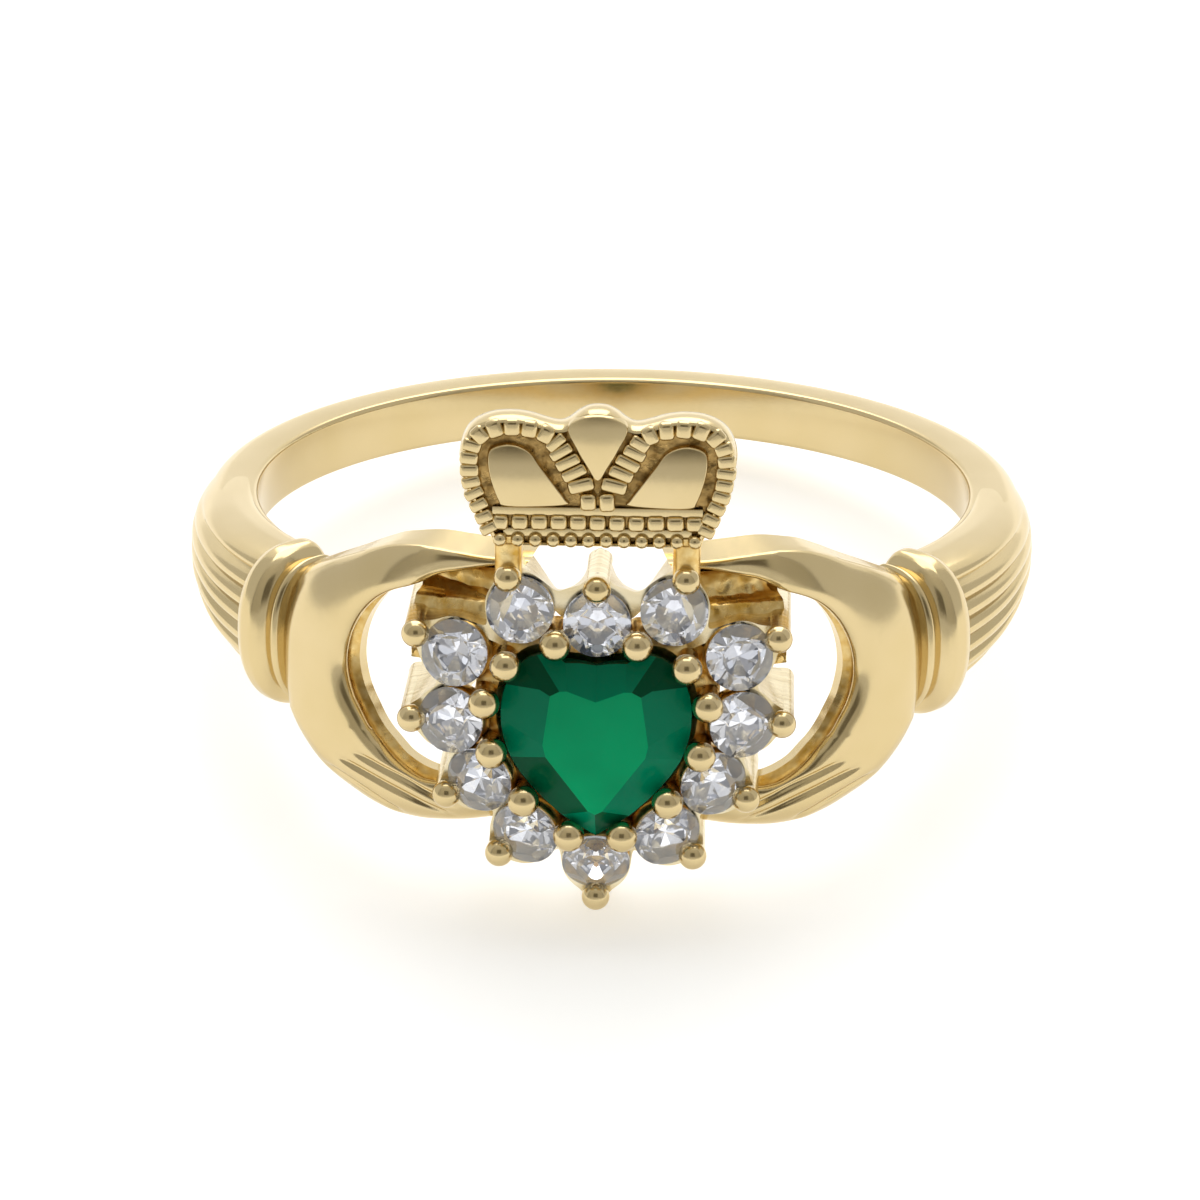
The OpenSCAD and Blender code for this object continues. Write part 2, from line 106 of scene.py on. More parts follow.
# A smooth closed or open curve through points, as a list of steps points a span
def throughPoints(points, steps, closed):
    count = len(points)
    spans = count if closed else count - 1
    out = []
    for k in range(spans):
        if closed:
            p = [points[(k + j - 1) % count] for j in range(4)]
        else:
            p = [points[min(count - 1, max(0, k + j - 1))] for j in range(4)]
        for i in range(steps):
            t = i / steps
            out.append(tuple(
                0.5 * (2 * p[1][c] + (p[2][c] - p[0][c]) * t
                       + (2 * p[0][c] - 5 * p[1][c] + 4 * p[2][c] - p[3][c]) * t * t
                       + (3 * p[1][c] - p[0][c] - 3 * p[2][c] + p[3][c]) * t ** 3)
                for c in range(2)))
    if not closed:
        out.append(tuple(points[-1]))
    return out


# A grid whose points are placed by a function of two shares
def laySheet(bm, uSteps, vSteps, place):
    made = bmesh.ops.create_grid(bm, x_segments=uSteps, y_segments=vSteps, size=0.5)["verts"]
    for v in made:
        v.co = place(v.co.x + 0.5, v.co.y + 0.5)
    return made


def closeSheet(bm):
    bmesh.ops.remove_doubles(bm, verts=bm.verts, dist=0.0005)
    bmesh.ops.holes_fill(bm, edges=[e for e in bm.edges if e.is_boundary], sides=0)


def mirrorAcross(bm):
    copy = bmesh.ops.duplicate(bm, geom=bm.verts[:] + bm.edges[:] + bm.faces[:])["geom"]
    bmesh.ops.scale(bm, vec=(-1, 1, 1), verts=[g for g in copy if isinstance(g, bmesh.types.BMVert)])
    bmesh.ops.reverse_faces(bm, faces=[g for g in copy if isinstance(g, bmesh.types.BMFace)])


def makeObject(name, bm, materials):
    mesh = bpy.data.meshes.new(name)
    bm.to_mesh(mesh)
    bm.free()
    for material in materials:
        mesh.materials.append(material)
    made = bpy.data.objects.new(name, mesh)
    scene.collection.objects.link(made)
    return made


# Turns a bmesh into a finished piece of the ring
def finishPiece(name, bm, material, stands="ring_mount", creaseAngle=40, flat=False, extras=()):
    bmesh.ops.recalc_face_normals(bm, faces=bm.faces)
    bmesh.ops.transform(bm, matrix=toRow, verts=bm.verts)
    limit = math.radians(creaseAngle)
    for face in bm.faces:
        face.smooth = not flat
    for edge in bm.edges:
        edge.smooth = len(edge.link_faces) != 2 or edge.calc_face_angle(0) < limit
    piece = makeObject(name, bm, (material,) + extras)
    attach(piece, "root")
    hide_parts(stands)
    return piece


# Materials
def toLinear(hexColour):
    channels = [int(hexColour[i:i + 2], 16) / 255 for i in (1, 3, 5)]
    return tuple(c / 12.92 if c <= 0.04045 else ((c + 0.055) / 1.055) ** 2.4 for c in channels) + (1,)


# Adds a shader node with its settings. A link comes from a socket, or from a node's first output,
# and the stops of a colour ramp are places along it with their colours
def addNode(tree, kind, links=(), stops=(), **settings):
    node = tree.nodes.new("ShaderNode" + kind)
    for key, value in settings.items():
        if key in node.inputs:
            node.inputs[key].default_value = value
        elif key.replace("_", " ") in node.inputs:
            node.inputs[key.replace("_", " ")].default_value = value
        else:
            setattr(node, key, value)
    for k, (position, hexColour) in enumerate(stops):
        node.color_ramp.elements[k].position = position
        node.color_ramp.elements[k].color = toLinear(hexColour)
    for source, socket in links:
        if isinstance(source, bpy.types.Node):
            source = source.outputs[0]
        tree.links.new(source, node.inputs[socket])
    return node


def newMaterial(name):
    material = bpy.data.materials.new(name)
    material.use_nodes = True
    tree = material.node_tree
    tree.nodes.clear()
    place = addNode(tree, "TexCoord").outputs["Object"]
    return material, tree, place


perMetre = 1000  # patterns are scaled by their count to a millimetre


# Nine carat yellow gold, cast and then polished on a wheel: pale and bright, with faint hairlines
def polishedGold():
    material, tree, place = newMaterial("Polished pale yellow gold")
    turned = addNode(tree, "Mapping", [(place, "Vector")],
                     Rotation=(0.3, 0.2, 0.9), Scale=(1.0, 0.12, 1.0))
    hairlines = addNode(tree, "TexNoise", [(turned, "Vector")], Scale=9 * perMetre, Detail=3.0)
    swirl = addNode(tree, "TexNoise", [(place, "Vector")], Scale=0.5 * perMetre, Detail=2.0)
    tone = addNode(tree, "ValToRGB", [(swirl, "Fac")], [(0, "#d1bb87"), (1, "#dcc89c")])
    gloss = addNode(tree, "MapRange", [(hairlines, "Value")], To_Min=0.13, To_Max=0.22)
    relief = addNode(tree, "Bump", [(hairlines, "Height")], Strength=0.03, Distance=0.00001)
    shader = addNode(tree, "BsdfPrincipled",
                     [(tone, "Base Color"), (gloss, "Roughness"), (relief, "Normal")], Metallic=1.0)
    addNode(tree, "OutputMaterial", [(shader, "Surface")])
    return material


# The same gold where no wheel reaches: a grainy cast skin, deeper and warmer in its hollows
def castGold(name, deep, pale, grainy):
    material, tree, place = newMaterial(name)
    grain = addNode(tree, "TexNoise", [(place, "Vector")], Scale=3.2 * perMetre, Detail=4.0)
    pits = addNode(tree, "TexVoronoi", [(place, "Vector")], Scale=2.4 * perMetre)
    tone = addNode(tree, "ValToRGB", [(grain, "Fac")], [(0.3, deep), (0.7, pale)])
    height = addNode(tree, "Math", [(grain, 0), (pits, 1)], operation="ADD")
    relief = addNode(tree, "Bump", [(height, "Height")], Strength=grainy, Distance=0.00005)
    gloss = addNode(tree, "MapRange", [(pits, "Value")], To_Min=0.2, To_Max=0.4)
    shader = addNode(tree, "BsdfPrincipled",
                     [(tone, "Base Color"), (gloss, "Roughness"), (relief, "Normal")], Metallic=1.0)
    addNode(tree, "OutputMaterial", [(shader, "Surface")])
    return material


# Gold as it left the mould along the gallery: pale, with the fine layer lines of its wax pattern
def layeredGold():
    material, tree, place = newMaterial("Layer-lined yellow gold")
    upright = addNode(tree, "Mapping", [(place, "Vector")], Rotation=(lean, 0, 0),
                      Scale=(0.07, 1.0, 0.07))
    lines = addNode(tree, "TexNoise", [(upright, "Vector")], Scale=7 * perMetre, Detail=2.0)
    tone = addNode(tree, "ValToRGB", [(lines, "Fac")], [(0.3, "#d8c596"), (0.7, "#f0e4c4")])
    relief = addNode(tree, "Bump", [(lines, "Height")], Strength=0.35, Distance=0.00002)
    shader = addNode(tree, "BsdfPrincipled", [(tone, "Base Color"), (relief, "Normal")],
                     Metallic=1.0, Roughness=0.24)
    addNode(tree, "OutputMaterial", [(shader, "Surface")])
    return material


# Dyed green agate, facet cut and polished: a saturated green. Its copies are painted light and shade,
# lighter for the facets that send light back and nearly black-green for the ones that don't
def greenAgate(name, deep, clear):
    material, tree, place = newMaterial(name)
    # Painted light and shade along the finger: darker towards the crown, lighter and cloudier towards the
    # heart's point
    upright = addNode(tree, "Mapping", [(place, "Vector")], Rotation=(lean, 0, 0))
    axes = addNode(tree, "SeparateXYZ", [(upright, "Vector")])
    rise = addNode(tree, "MapRange", [(axes.outputs["Z"], "Value")],
                   From_Min=0.0002, From_Max=-0.0036)
    cloud = addNode(tree, "TexNoise", [(place, "Vector")], Scale=0.5 * perMetre, Detail=2.0)
    shade = addNode(tree, "Math", [(rise, 0), (cloud, 1)], operation="MULTIPLY_ADD")
    shade.inputs[2].default_value = 0.15
    tone = addNode(tree, "ValToRGB", [(shade, "Fac")], [(0, deep), (0.7, clear)])
    shader = addNode(tree, "BsdfPrincipled", [(tone, "Base Color")],
                     Metallic=0.0, Roughness=0.03, IOR=1.54, Specular_IOR_Level=0.05,
                     Transmission_Weight=0.03)
    addNode(tree, "OutputMaterial", [(shader, "Surface")])
    return material


# White cubic zirconia, brilliant cut: icy white, clear and slightly cool, with a faint painted glow of
# cool light
def whiteZirconia():
    material, tree, place = newMaterial("Brilliant-cut white zirconia")
    fire = addNode(tree, "TexNoise", [(place, "Vector")], Scale=2.2 * perMetre, Detail=2.0)
    tone = addNode(tree, "ValToRGB", [(fire, "Fac")], [(0.35, "#e8ecf6"), (0.65, "#fcfcff")])
    shader = addNode(tree, "BsdfPrincipled", [(tone, "Base Color")],
                     Metallic=0.0, Roughness=0.0, IOR=2.16, Transmission_Weight=0.985,
                     Emission_Color=toLinear("#e2e9fb"), Emission_Strength=0.04)
    addNode(tree, "OutputMaterial", [(shader, "Surface")])
    return material


# Painted shade for the few back facets of each zirconia that send no light forward: dark blue, seen as
# thin flashes
def paintedShadeZirconia():
    material, tree, place = newMaterial("Zirconia, facets in extinction")
    fire = addNode(tree, "TexNoise", [(place, "Vector")], Scale=2.2 * perMetre, Detail=2.0)
    tone = addNode(tree, "ValToRGB", [(fire, "Fac")], [(0, "#070a12"), (1, "#232b40")])
    shader = addNode(tree, "BsdfPrincipled", [(tone, "Base Color")],
                     Metallic=1.0, Roughness=0.02)
    addNode(tree, "OutputMaterial", [(shader, "Surface")])
    return material


gold = polishedGold()
cast = castGold("Cast yellow gold", "#d0a44c", "#f0d698", 0.3)
# A darker copy of the cast gold for the crown's floor between the teeth: painted shade, with a coarser
# grain
shadedFloorGold = castGold("Cast yellow gold in the crown's floor", "#6a5027", "#bc9c62", 1.0)
layered = layeredGold()
# Lit and shaded copies of the agate for the heart's facets: painted light on the bright ones, painted
# shade on the side and deep ones
green = greenAgate("Polished green agate, bright facets", "#007c50", "#00ac70")
halfShadedGreen = greenAgate("Polished green agate, side facets", "#006244", "#008660")
shadedGreen = greenAgate("Polished green agate, deep facets", "#00351f", "#005838")
white = whiteZirconia()
extinct = paintedShadeZirconia()
print("materials are ready")

# The band: a flat hoop with rounded outer edges, which ends inside both cuffs
band = {
    "outerRound": 0.45, "innerRound": 0.12, "endAngle": 47, "steps": 220,
    "outerFrom": 9.5,  # corners beyond this radius get the outer round
}


def buildBand():
    bm = bmesh.new()
    half = ring["bandWidth"] / 2
    made = bmesh.ops.create_grid(bm, x_segments=1, y_segments=1, size=0.5)["verts"]
    for v in made:
        v.co = Vector((ring["boreRadius"] if v.co.x < 0 else ring["bandRadius"], 0, v.co.y * 2 * half))
    rounds = ((band["outerRound"], True, 10), (band["innerRound"], False, 4))
    for radius, outer, segments in rounds:
        corners = [v for v in bm.verts if len(v.link_edges) == 2 and abs(v.co.z) > half - 0.001
                   and (v.co.x > band["outerFrom"]) == outer]
        bmesh.ops.bevel(bm, geom=corners, offset=radius, offset_type="OFFSET", affect="VERTICES",
                        segments=segments, profile=0.5, material=-1)
    bmesh.ops.rotate(bm, verts=bm.verts,
                     matrix=Matrix.Rotation(math.radians(band["endAngle"] - 90), 3, "Z"))
    arc = math.radians(360 - 2 * band["endAngle"])
    bmesh.ops.spin(bm, geom=bm.verts[:] + bm.edges[:] + bm.faces[:], cent=(0, 0, 0), axis=(0, 0, 1),
                   angle=arc, steps=band["steps"], use_merge=False)
    closeSheet(bm)
    return finishPiece("band", bm, gold)


buildBand()
print("band is ready")

# The sleeves: from the band they widen to the cuff, with folds that fan out along them
sleeve = {
    "startAngle": 106, "endAngle": 53, "height": 3.4, "thick": 1.95, "folds": 7, "foldDepth": 0.16,
    "flatShare": 0.46, "steps": 90, "round": 220, "powers": (2.7, 5),
    "inside": 0.03,            # how far it starts inside the band
    "innerGap": (0.06, 0.02),  # from the bore to its inner side, at the band and at the cuff
    "foldFrom": 0.5,           # how far out from the bore the folds begin
    # share of the arc: share of the way from the band's section to the cuff's
    "heightRun": [(0, 0.0), (0.14, 0.06), (0.28, 0.20), (0.45, 0.40), (0.62, 0.60), (0.8, 0.82),
                  (1, 1.0)],
    "thickRun": [(0, 0.0), (0.14, 0.12), (0.28, 0.33), (0.45, 0.58), (0.62, 0.78), (0.8, 0.93), (1, 1.0)],
    "foldRun": [(0, 0.0), (0.28, 0.0), (0.5, 0.5), (0.74, 1.0), (1, 1.0)],
}


# A rounded section of the arm: how far round it, then its top, bottom, outer and inner radius, how
# square its outer and inner halves are, and how far from the inner side the two halves meet
def armSection(turn, top, bottom, outer, inner, powers, spine=0.4):
    a = 2 * math.pi * turn
    a -= ring["cornerDraw"] * math.sin(4 * a)
    c, s = math.cos(a), math.sin(a)
    power = powers[0] if c > 0 else powers[1]
    z = mix(bottom, top, 0.5 + 0.5 * math.copysign(abs(s) ** (2 / power), s))
    middle = inner + spine
    reach = (outer - middle) if c > 0 else (middle - inner)
    return middle + reach * math.copysign(abs(c) ** (2 / power), c), z


def buildSleeves():
    bm = bmesh.new()
    half = ring["bandWidth"] / 2 - sleeve["inside"]

    def place(u, v):
        grown = readTable(sleeve["heightRun"], v)
        top = mix(half, ring["wristZ"] + sleeve["height"] / 2, grown)
        bottom = mix(-half, ring["wristZ"] - sleeve["height"] / 2, grown)
        outer = mix(ring["bandRadius"] - sleeve["inside"], ring["boreRadius"] + sleeve["thick"],
                    readTable(sleeve["thickRun"], v))
        inner = ring["boreRadius"] + mix(*sleeve["innerGap"], v)
        radius, z = armSection(u, top, bottom, outer, inner, sleeve["powers"])
        across = (z - bottom) / (top - bottom)
        facing = smooth((radius - ring["boreRadius"] - sleeve["foldFrom"]) / sleeve["foldFrom"])
        near = abs((across * sleeve["folds"] + 0.5) % 1 - 0.5)
        dip = max(0, 1 - near / sleeve["flatShare"]) ** 2
        radius -= sleeve["foldDepth"] * dip * facing * readTable(sleeve["foldRun"], v)
        return atAngle(radius, mix(sleeve["startAngle"], sleeve["endAngle"], v), z)

    laySheet(bm, sleeve["round"], sleeve["steps"], place)
    closeSheet(bm)
    mirrorAcross(bm)
    return finishPiece("sleeves", bm, gold, creaseAngle=50)


buildSleeves()
print("sleeves are ready")

# The cuffs: a broad roll and a small bead with a groove between them
cuff = {
    "height": 3.2, "thick": 1.95, "steps": 110, "round": 140, "powers": (2.35, 3.2), "spine": 0.7,
    "innerGap": 0.03,
    # angle from the front: how far the cuff stands out
    "outRun": [(46.1, -0.2), (46.2, 0.02), (46.45, 0.15), (46.9, 0.21), (47.4, 0.18), (47.8, 0.06),
               (48.0, 0.0), (48.2, 0.02), (48.6, 0.18), (49.3, 0.32), (50.4, 0.41), (51.6, 0.42),
               (52.8, 0.36), (53.8, 0.24), (54.5, 0.05), (54.7, -0.2)],
}


def buildCuffs():
    bm = bmesh.new()
    start, end = cuff["outRun"][0][0], cuff["outRun"][-1][0]

    def place(u, v):
        angle = mix(end, start, v)
        proud = readTable(cuff["outRun"], angle)
        top = ring["wristZ"] + cuff["height"] / 2 + proud
        bottom = ring["wristZ"] - cuff["height"] / 2 - proud
        radius, z = armSection(u, top, bottom, ring["boreRadius"] + cuff["thick"] + proud,
                               ring["boreRadius"] + cuff["innerGap"], cuff["powers"], cuff["spine"])
        return atAngle(radius, angle, z)

    laySheet(bm, cuff["round"], cuff["steps"], place)
    closeSheet(bm)
    mirrorAcross(bm)
    return finishPiece("cuffs", bm, gold, creaseAngle=60)


buildCuffs()
print("cuffs are ready")

# The hands: each bends round its open palm, from the finger tips over the back to the thumb
hand = {
    "palmAngle": 22, "palmZ": -1.0, "radius": 11.0, "cuffSide": 48, "topEnd": 128, "lowEnd": -124,
    "turnSteps": 320, "faceSteps": 134, "grooveSteps": 14, "outlineSteps": 240, "bulge": 0.12,
    "reach": (1.5, 7.5),  # between which distances from the palm's middle the outer edge lies
    # where the face, the outer side and the back end, as shares of the way round the section, how
    # much the outer side spreads towards the finger and how thin the hand may get
    "faceTo": 0.7, "sideTo": 0.8, "backTo": 0.9, "spread": 0.1, "least": 0.02,
    # angle from the front: height of the top edge, of the lower edge, drop of the face, radius of
    # the back, and the rounding of the top and lower edges
    "top": [(8, 2.1), (12, 2.12), (15, 2.16), (19, 2.28), (23, 2.36), (27.5, 2.25), (31, 2.02),
            (34.5, 1.73), (39, 1.38), (43.5, 1.03), (47, 0.8), (50, 0.7)],
    "low": [(10, -4.25), (15, -4.45), (19, -4.52), (23, -4.54), (27, -4.5), (30.5, -4.38), (34, -4.18),
            (38, -3.9), (41, -3.56), (44, -3.12), (47, -2.68), (50, -2.5)],
    "drop": [(8, 0.76), (12, 0.7), (15, 0.58), (19, 0.32), (24, 0.08), (29, 0.0), (38, 0.02),
             (42, 0.1), (44.5, 0.24), (46.2, 0.5), (48, 0.75)],
    "back": [(8, 8.75), (14, 8.95), (20, 9.35), (27, 9.65), (40, 9.6), (50, 9.2)],
    "topRound": [(10, 0.14), (18, 0.2), (31, 1.5), (38, 1.9), (50, 1.8)],
    "topFall": [(10, 0.1), (18, 0.12), (31, 0.56), (38, 0.8), (50, 0.84)],
    "lowRound": [(10, 0.5), (24, 0.62), (34, 0.85), (42, 1.0), (50, 1.1)],
    # direction from the middle of the palm: distance of its edge, how far its back edge stands
    # out from that, and the rounding of its front edge
    "palm": [(-124, 2.75), (-100, 2.5), (-85, 2.41), (-67, 2.22), (-50, 2.1), (-30, 2.12), (-14, 2.24),
             (5, 2.34), (36, 2.33), (66, 2.38), (78, 2.4), (86, 2.52), (94, 2.71), (105, 2.92),
             (118, 3.32), (128, 3.78)],
    "backOut": [(-124, 0.0), (-85, 0.04), (-60, 0.18), (-40, 0.24), (-15, 0.26), (10, 0.24), (40, 0.14),
                (70, 0.04), (128, 0.0)],
    "lip": [(-124, 0.14), (-90, 0.22), (-40, 0.4), (0, 0.5), (40, 0.42), (70, 0.2), (128, 0.12)],
    "lowFall": 0.9, "lipFall": 0.8,  # how far these two edges fall back, as shares of their rounding
    # share of the wall's depth from the back: how far the cast groove in it is cut out
    "groove": [(0.0, 0.0), (0.38, 0.0), (0.46, 0.13), (0.58, 0.24), (0.8, 0.2), (0.95, 0.04), (1.0, 0.0)],
    "grooveFrom": 0.38,
    # lines between the fingers: angle and height where each starts, then where it ends
    "lines": [(33.5, -2.9, 18.0, -4.12), (36.2, -3.12, 18.0, -4.42), (38.6, -3.45, 25.0, -4.42)],
    # their depth, width and bow, how much softer the upper side is, and how soon they run in and out
    "lineDepth": 0.07, "lineWidth": 0.066, "lineBow": 0.12, "lineSoft": 0.8, "lineIn": 4, "lineOut": 6,
    # the bend over the wrist is smoothed: above this height and radius, between these angles
    "softZ": -2.4, "softRadius": 10.3, "softAngles": (23.5, 46), "softTurns": 60,
}


# How far a rounded edge falls back, from the distance to it and the rounding's reach and fall
def edgeFall(distance, reach, fall):
    q = min(0.995, max(0, 1 - distance / reach))
    return fall * (1 - math.sqrt(1 - q * q))


def handOutline(theta):
    c, s = math.cos(math.radians(theta)), math.sin(math.radians(theta))
    low, high = hand["reach"]
    for step in range(24):
        r = (low + high) / 2
        a = hand["palmAngle"] + math.degrees(r * c / hand["radius"])
        z = hand["palmZ"] + r * s
        if a < hand["cuffSide"] and readTable(hand["low"], a) < z < readTable(hand["top"], a):
            low = r
        else:
            high = r
    return low


# The depth of the lines between the fingers: each has a steep lower side and a soft upper one
def fingerLine(a, z):
    depth = 0
    for startA, startZ, endA, endZ in hand["lines"]:
        run = ((endA - startA) * math.radians(1) * hand["radius"], endZ - startZ)
        at = ((a - startA) * math.radians(1) * hand["radius"], z - startZ)
        length = math.hypot(*run)
        t = (at[0] * run[0] + at[1] * run[1]) / length ** 2
        if 0 < t < 1:
            gap = (at[0] * run[1] - at[1] * run[0]) / length - hand["lineBow"] * math.sin(math.pi * t)
            side = gap / hand["lineWidth"] * (1.0 if gap > 0 else hand["lineSoft"])
            ends = smooth(t * hand["lineIn"]) * smooth((1 - t) * hand["lineOut"])
            depth += hand["lineDepth"] * ends * math.exp(-side * side)
    return depth


def buildHands():
    bm = bmesh.new()
    count = hand["outlineSteps"]
    outlines = [handOutline(mix(hand["topEnd"], hand["lowEnd"], i / count)) for i in range(count + 1)]
    for turn in range(2):
        outlines = [outlines[0]] + [(a + 2 * b + c) / 4 for a, b, c in
                                    zip(outlines, outlines[1:], outlines[2:])] + [outlines[-1]]

    def spot(theta, r):
        turn = math.radians(theta)
        return (hand["palmAngle"] + math.degrees(r * math.cos(turn) / hand["radius"]),
                hand["palmZ"] + r * math.sin(turn))

    def faceRadius(theta, r, inner):
        a, z = spot(theta, r)
        top, low = readTable(hand["top"], a), readTable(hand["low"], a)
        across = 2 * (z - low) / (top - low) - 1
        fall = readTable(hand["drop"], a) + hand["bulge"] * across * across + fingerLine(a, z)
        fall += edgeFall(top - z, readTable(hand["topRound"], a), readTable(hand["topFall"], a))
        lower, lip = readTable(hand["lowRound"], a), readTable(hand["lip"], theta)
        fall += edgeFall(z - low, lower, hand["lowFall"] * lower)
        return hand["radius"] - fall - edgeFall(r - inner, lip, hand["lipFall"] * lip)

    def wallPoint(theta, inner, depth):
        a, z = spot(theta, inner)
        back = readTable(hand["back"], a)
        out = readTable(hand["backOut"], theta) * (1 - depth) + readTable(hand["groove"], depth)
        a, z = spot(theta, inner + out)
        return atAngle(mix(back, faceRadius(theta, inner, inner), depth), a, z)

    def edges(v):
        theta = mix(hand["topEnd"], hand["lowEnd"], v)
        k = min(count - 0.001, v * count)
        return (theta, readTable(hand["palm"], theta),
                mix(outlines[int(k)], outlines[int(k) + 1], k - int(k)))

    def placeBody(u, v):
        theta, inner, outer = edges(v)
        if u < hand["faceTo"]:
            r = mix(inner, outer, 0.5 - 0.5 * math.cos(math.pi * u / hand["faceTo"]))
            a, z = spot(theta, r)
            return atAngle(faceRadius(theta, r, inner), a, z)
        a, z = spot(theta, outer)
        rim = faceRadius(theta, outer, inner)
        back = min(readTable(hand["back"], a), rim - hand["least"])
        if u < hand["sideTo"]:
            f = (u - hand["faceTo"]) / (hand["sideTo"] - hand["faceTo"])
            a, z = spot(theta, outer + hand["spread"] * f)
            return atAngle(mix(rim, back, f), a, z)
        if u < hand["backTo"]:
            f = (u - hand["sideTo"]) / (hand["backTo"] - hand["sideTo"])
            a, z = spot(theta, mix(outer + hand["spread"], inner + readTable(hand["backOut"], theta), f))
            return atAngle(mix(back, readTable(hand["back"], spot(theta, inner)[0]), f), a, z)
        return wallPoint(theta, inner, hand["grooveFrom"] * (u - hand["backTo"]) / (1 - hand["backTo"]))

    def placeGroove(u, v):
        theta, inner, outer = edges(v)
        return wallPoint(theta, inner, mix(hand["grooveFrom"], 1, u))

    laySheet(bm, hand["faceSteps"], hand["turnSteps"], placeBody)
    for v in laySheet(bm, hand["grooveSteps"], hand["turnSteps"], placeGroove):
        for face in v.link_faces:
            face.material_index = 1
    closeSheet(bm)
    fromAngle, toAngle = hand["softAngles"]
    back = [v for v in bm.verts if v.co.z > hand["softZ"] and v.co.xy.length > hand["softRadius"]
            and fromAngle < math.degrees(math.atan2(v.co.x, -v.co.y)) < toAngle]
    for turn in range(hand["softTurns"]):
        bmesh.ops.smooth_vert(bm, verts=back, factor=0.5, use_axis_x=True, use_axis_y=True,
                              use_axis_z=True)
    mirrorAcross(bm)
    return finishPiece("hands", bm, gold, creaseAngle=50, extras=(cast,))


buildHands()
print("hands are ready")

# The round stones of the halo, from the top one down one side: place across and along the finger,
# how far each leans out, which way its outer claw points and how far out that claw's bead stands
halo = {
    "size": 1.6, "crown": 0.15, "y": -11.05,
    "extinctAbove": 0.08,  # lower halves whose noise is above this stay dark
    # rings of facets: how many, the first one's direction, their place as a share of the radius
    # and of the size, their slope, and whether they are above or below the girdle
    "facets": {"mains": (8, 0, 1, 0, 34, 1), "upper halves": (16, 11.25, 1, 0.00625, 40, 1),
               # the lower halves whose noise is above this get the painted shade
               "stars": (8, 22.5, 0.56, 0.15, 22, 1), "pavilion mains": (8, 0, 1, -0.04, 41, -1),
               "lower halves": (24, 7.5, 1, -0.04, 42.8, -1)},
    "stones": [(0.0, 0.934, 5, 90, 0.91), (1.815, 1.244, 8, 72, 0.86), (3.36, 0.154, 16, 29, 0.97),
               (3.45, -1.524, 20, 4, 0.84), (2.774, -3.014, 22, -23, 0.74),
               (1.677, -4.318, 22, -37, 0.67), (0.0, -5.016, 24, -90, 0.75)],
    # claws between two stones: how far inside the line between them, and along it
    "innerClaws": [(0.51, -0.03), (0.80, 0.0), (0.78, 0.16), (0.66, 0.13), (0.64, 0.06), (0.56, 0.0)],
    "outerBead": 0.335, "innerBead": 0.375, "outerLift": 0.38, "innerLift": 0.62,
}


# A stone's middle, and the directions towards its outer claw and out of its table
def stoneAxes(k, side):
    x, z, leanOut, turn, reach = halo["stones"][k]
    t, w = math.radians(leanOut), math.radians(turn)
    out = Vector((side * math.cos(w) * math.cos(t), math.sin(t), math.sin(w) * math.cos(t)))
    up = Vector((side * math.cos(w) * math.sin(t), -math.cos(t), math.sin(w) * math.sin(t)))
    return Vector((side * x, halo["y"], z)), out, up


def stoneFrame(k, side):
    at, out, up = stoneAxes(k, side)
    return Matrix.Translation(at) @ up.to_track_quat("Z", "Y").to_matrix().to_4x4()


def outerBeadAt(k, side):
    at, out, up = stoneAxes(k, side)
    return at + out * halo["stones"][k][4] + up * halo["outerLift"]


def innerBeadAt(k, side):
    a, b = stoneAxes(k, side)[0], stoneAxes(k + 1, side)[0]
    along = (b - a).normalized()
    inward = Vector((along.z, 0, -along.x)) * side
    inside, slide = halo["innerClaws"][k]
    return (a + b) / 2 + inward * inside + along * slide + Vector((0, -halo["innerLift"], 0))


# Which stones there are: the top and bottom ones once, the others on both sides
def bothSides(count):
    return [(k, side) for k in range(count) for side in ((1,) if k in (0, 6) else (1, -1))]


# Cuts everything off beyond a plane and closes the cut with a flat facet
def cutFacet(bm, point, normal):
    cut = bmesh.ops.bisect_plane(bm, geom=bm.verts[:] + bm.edges[:] + bm.faces[:], dist=1e-5,
                                 plane_co=point, plane_no=normal, clear_outer=True)["geom_cut"]
    edges = [g for g in cut if isinstance(g, bmesh.types.BMEdge) and g.is_boundary]
    if edges:
        bmesh.ops.holes_fill(bm, edges=edges, sides=0)


# A round stone; noise picks which of its lower halves get the painted shade
def buildStone(index, k, side):
    bm = bmesh.new()
    size = halo["size"]
    bmesh.ops.create_cone(bm, cap_ends=True, segments=64, radius1=size / 2, radius2=size / 2,
                          depth=2 * size)
    cutFacet(bm, Vector((0, 0, halo["crown"] * size)), Vector((0, 0, 1)))
    for count, start, radius, height, slope, up in halo["facets"].values():
        tilt = math.radians(slope)
        for turn in range(count):
            a = math.radians(start + 360 * turn / count)
            out = Vector((math.cos(a), math.sin(a), 0))
            cutFacet(bm, out * radius * size / 2 + Vector((0, 0, height * size)),
                     out * math.sin(tilt) + Vector((0, 0, up)) * math.cos(tilt))
    bmesh.ops.recalc_face_normals(bm, faces=bm.faces)
    count, start, radius, height, slope, up = halo["facets"]["lower halves"]
    for face in bm.faces:
        if abs(face.normal.z + math.cos(math.radians(slope))) < 0.01:
            turn = round((math.degrees(math.atan2(face.normal.y, face.normal.x)) - start) * count / 360)
            shade = noise.noise(Vector((turn * 1.37, index * 2.71, 0.5)))
            face.material_index = 1 if shade > halo["extinctAbove"] else 0
    bmesh.ops.transform(bm, matrix=stoneFrame(k, side), verts=bm.verts)
    return finishPiece("round_stone_%02d" % index, bm, white, stands="halo_stone_%02d" % index,
                       flat=True, extras=(extinct,))


def buildStones():
    for index in range(12):
        buildStone(index + 1, index if index < 7 else 12 - index, 1 if index < 7 else -1)


buildStones()
print("halo stones are ready")

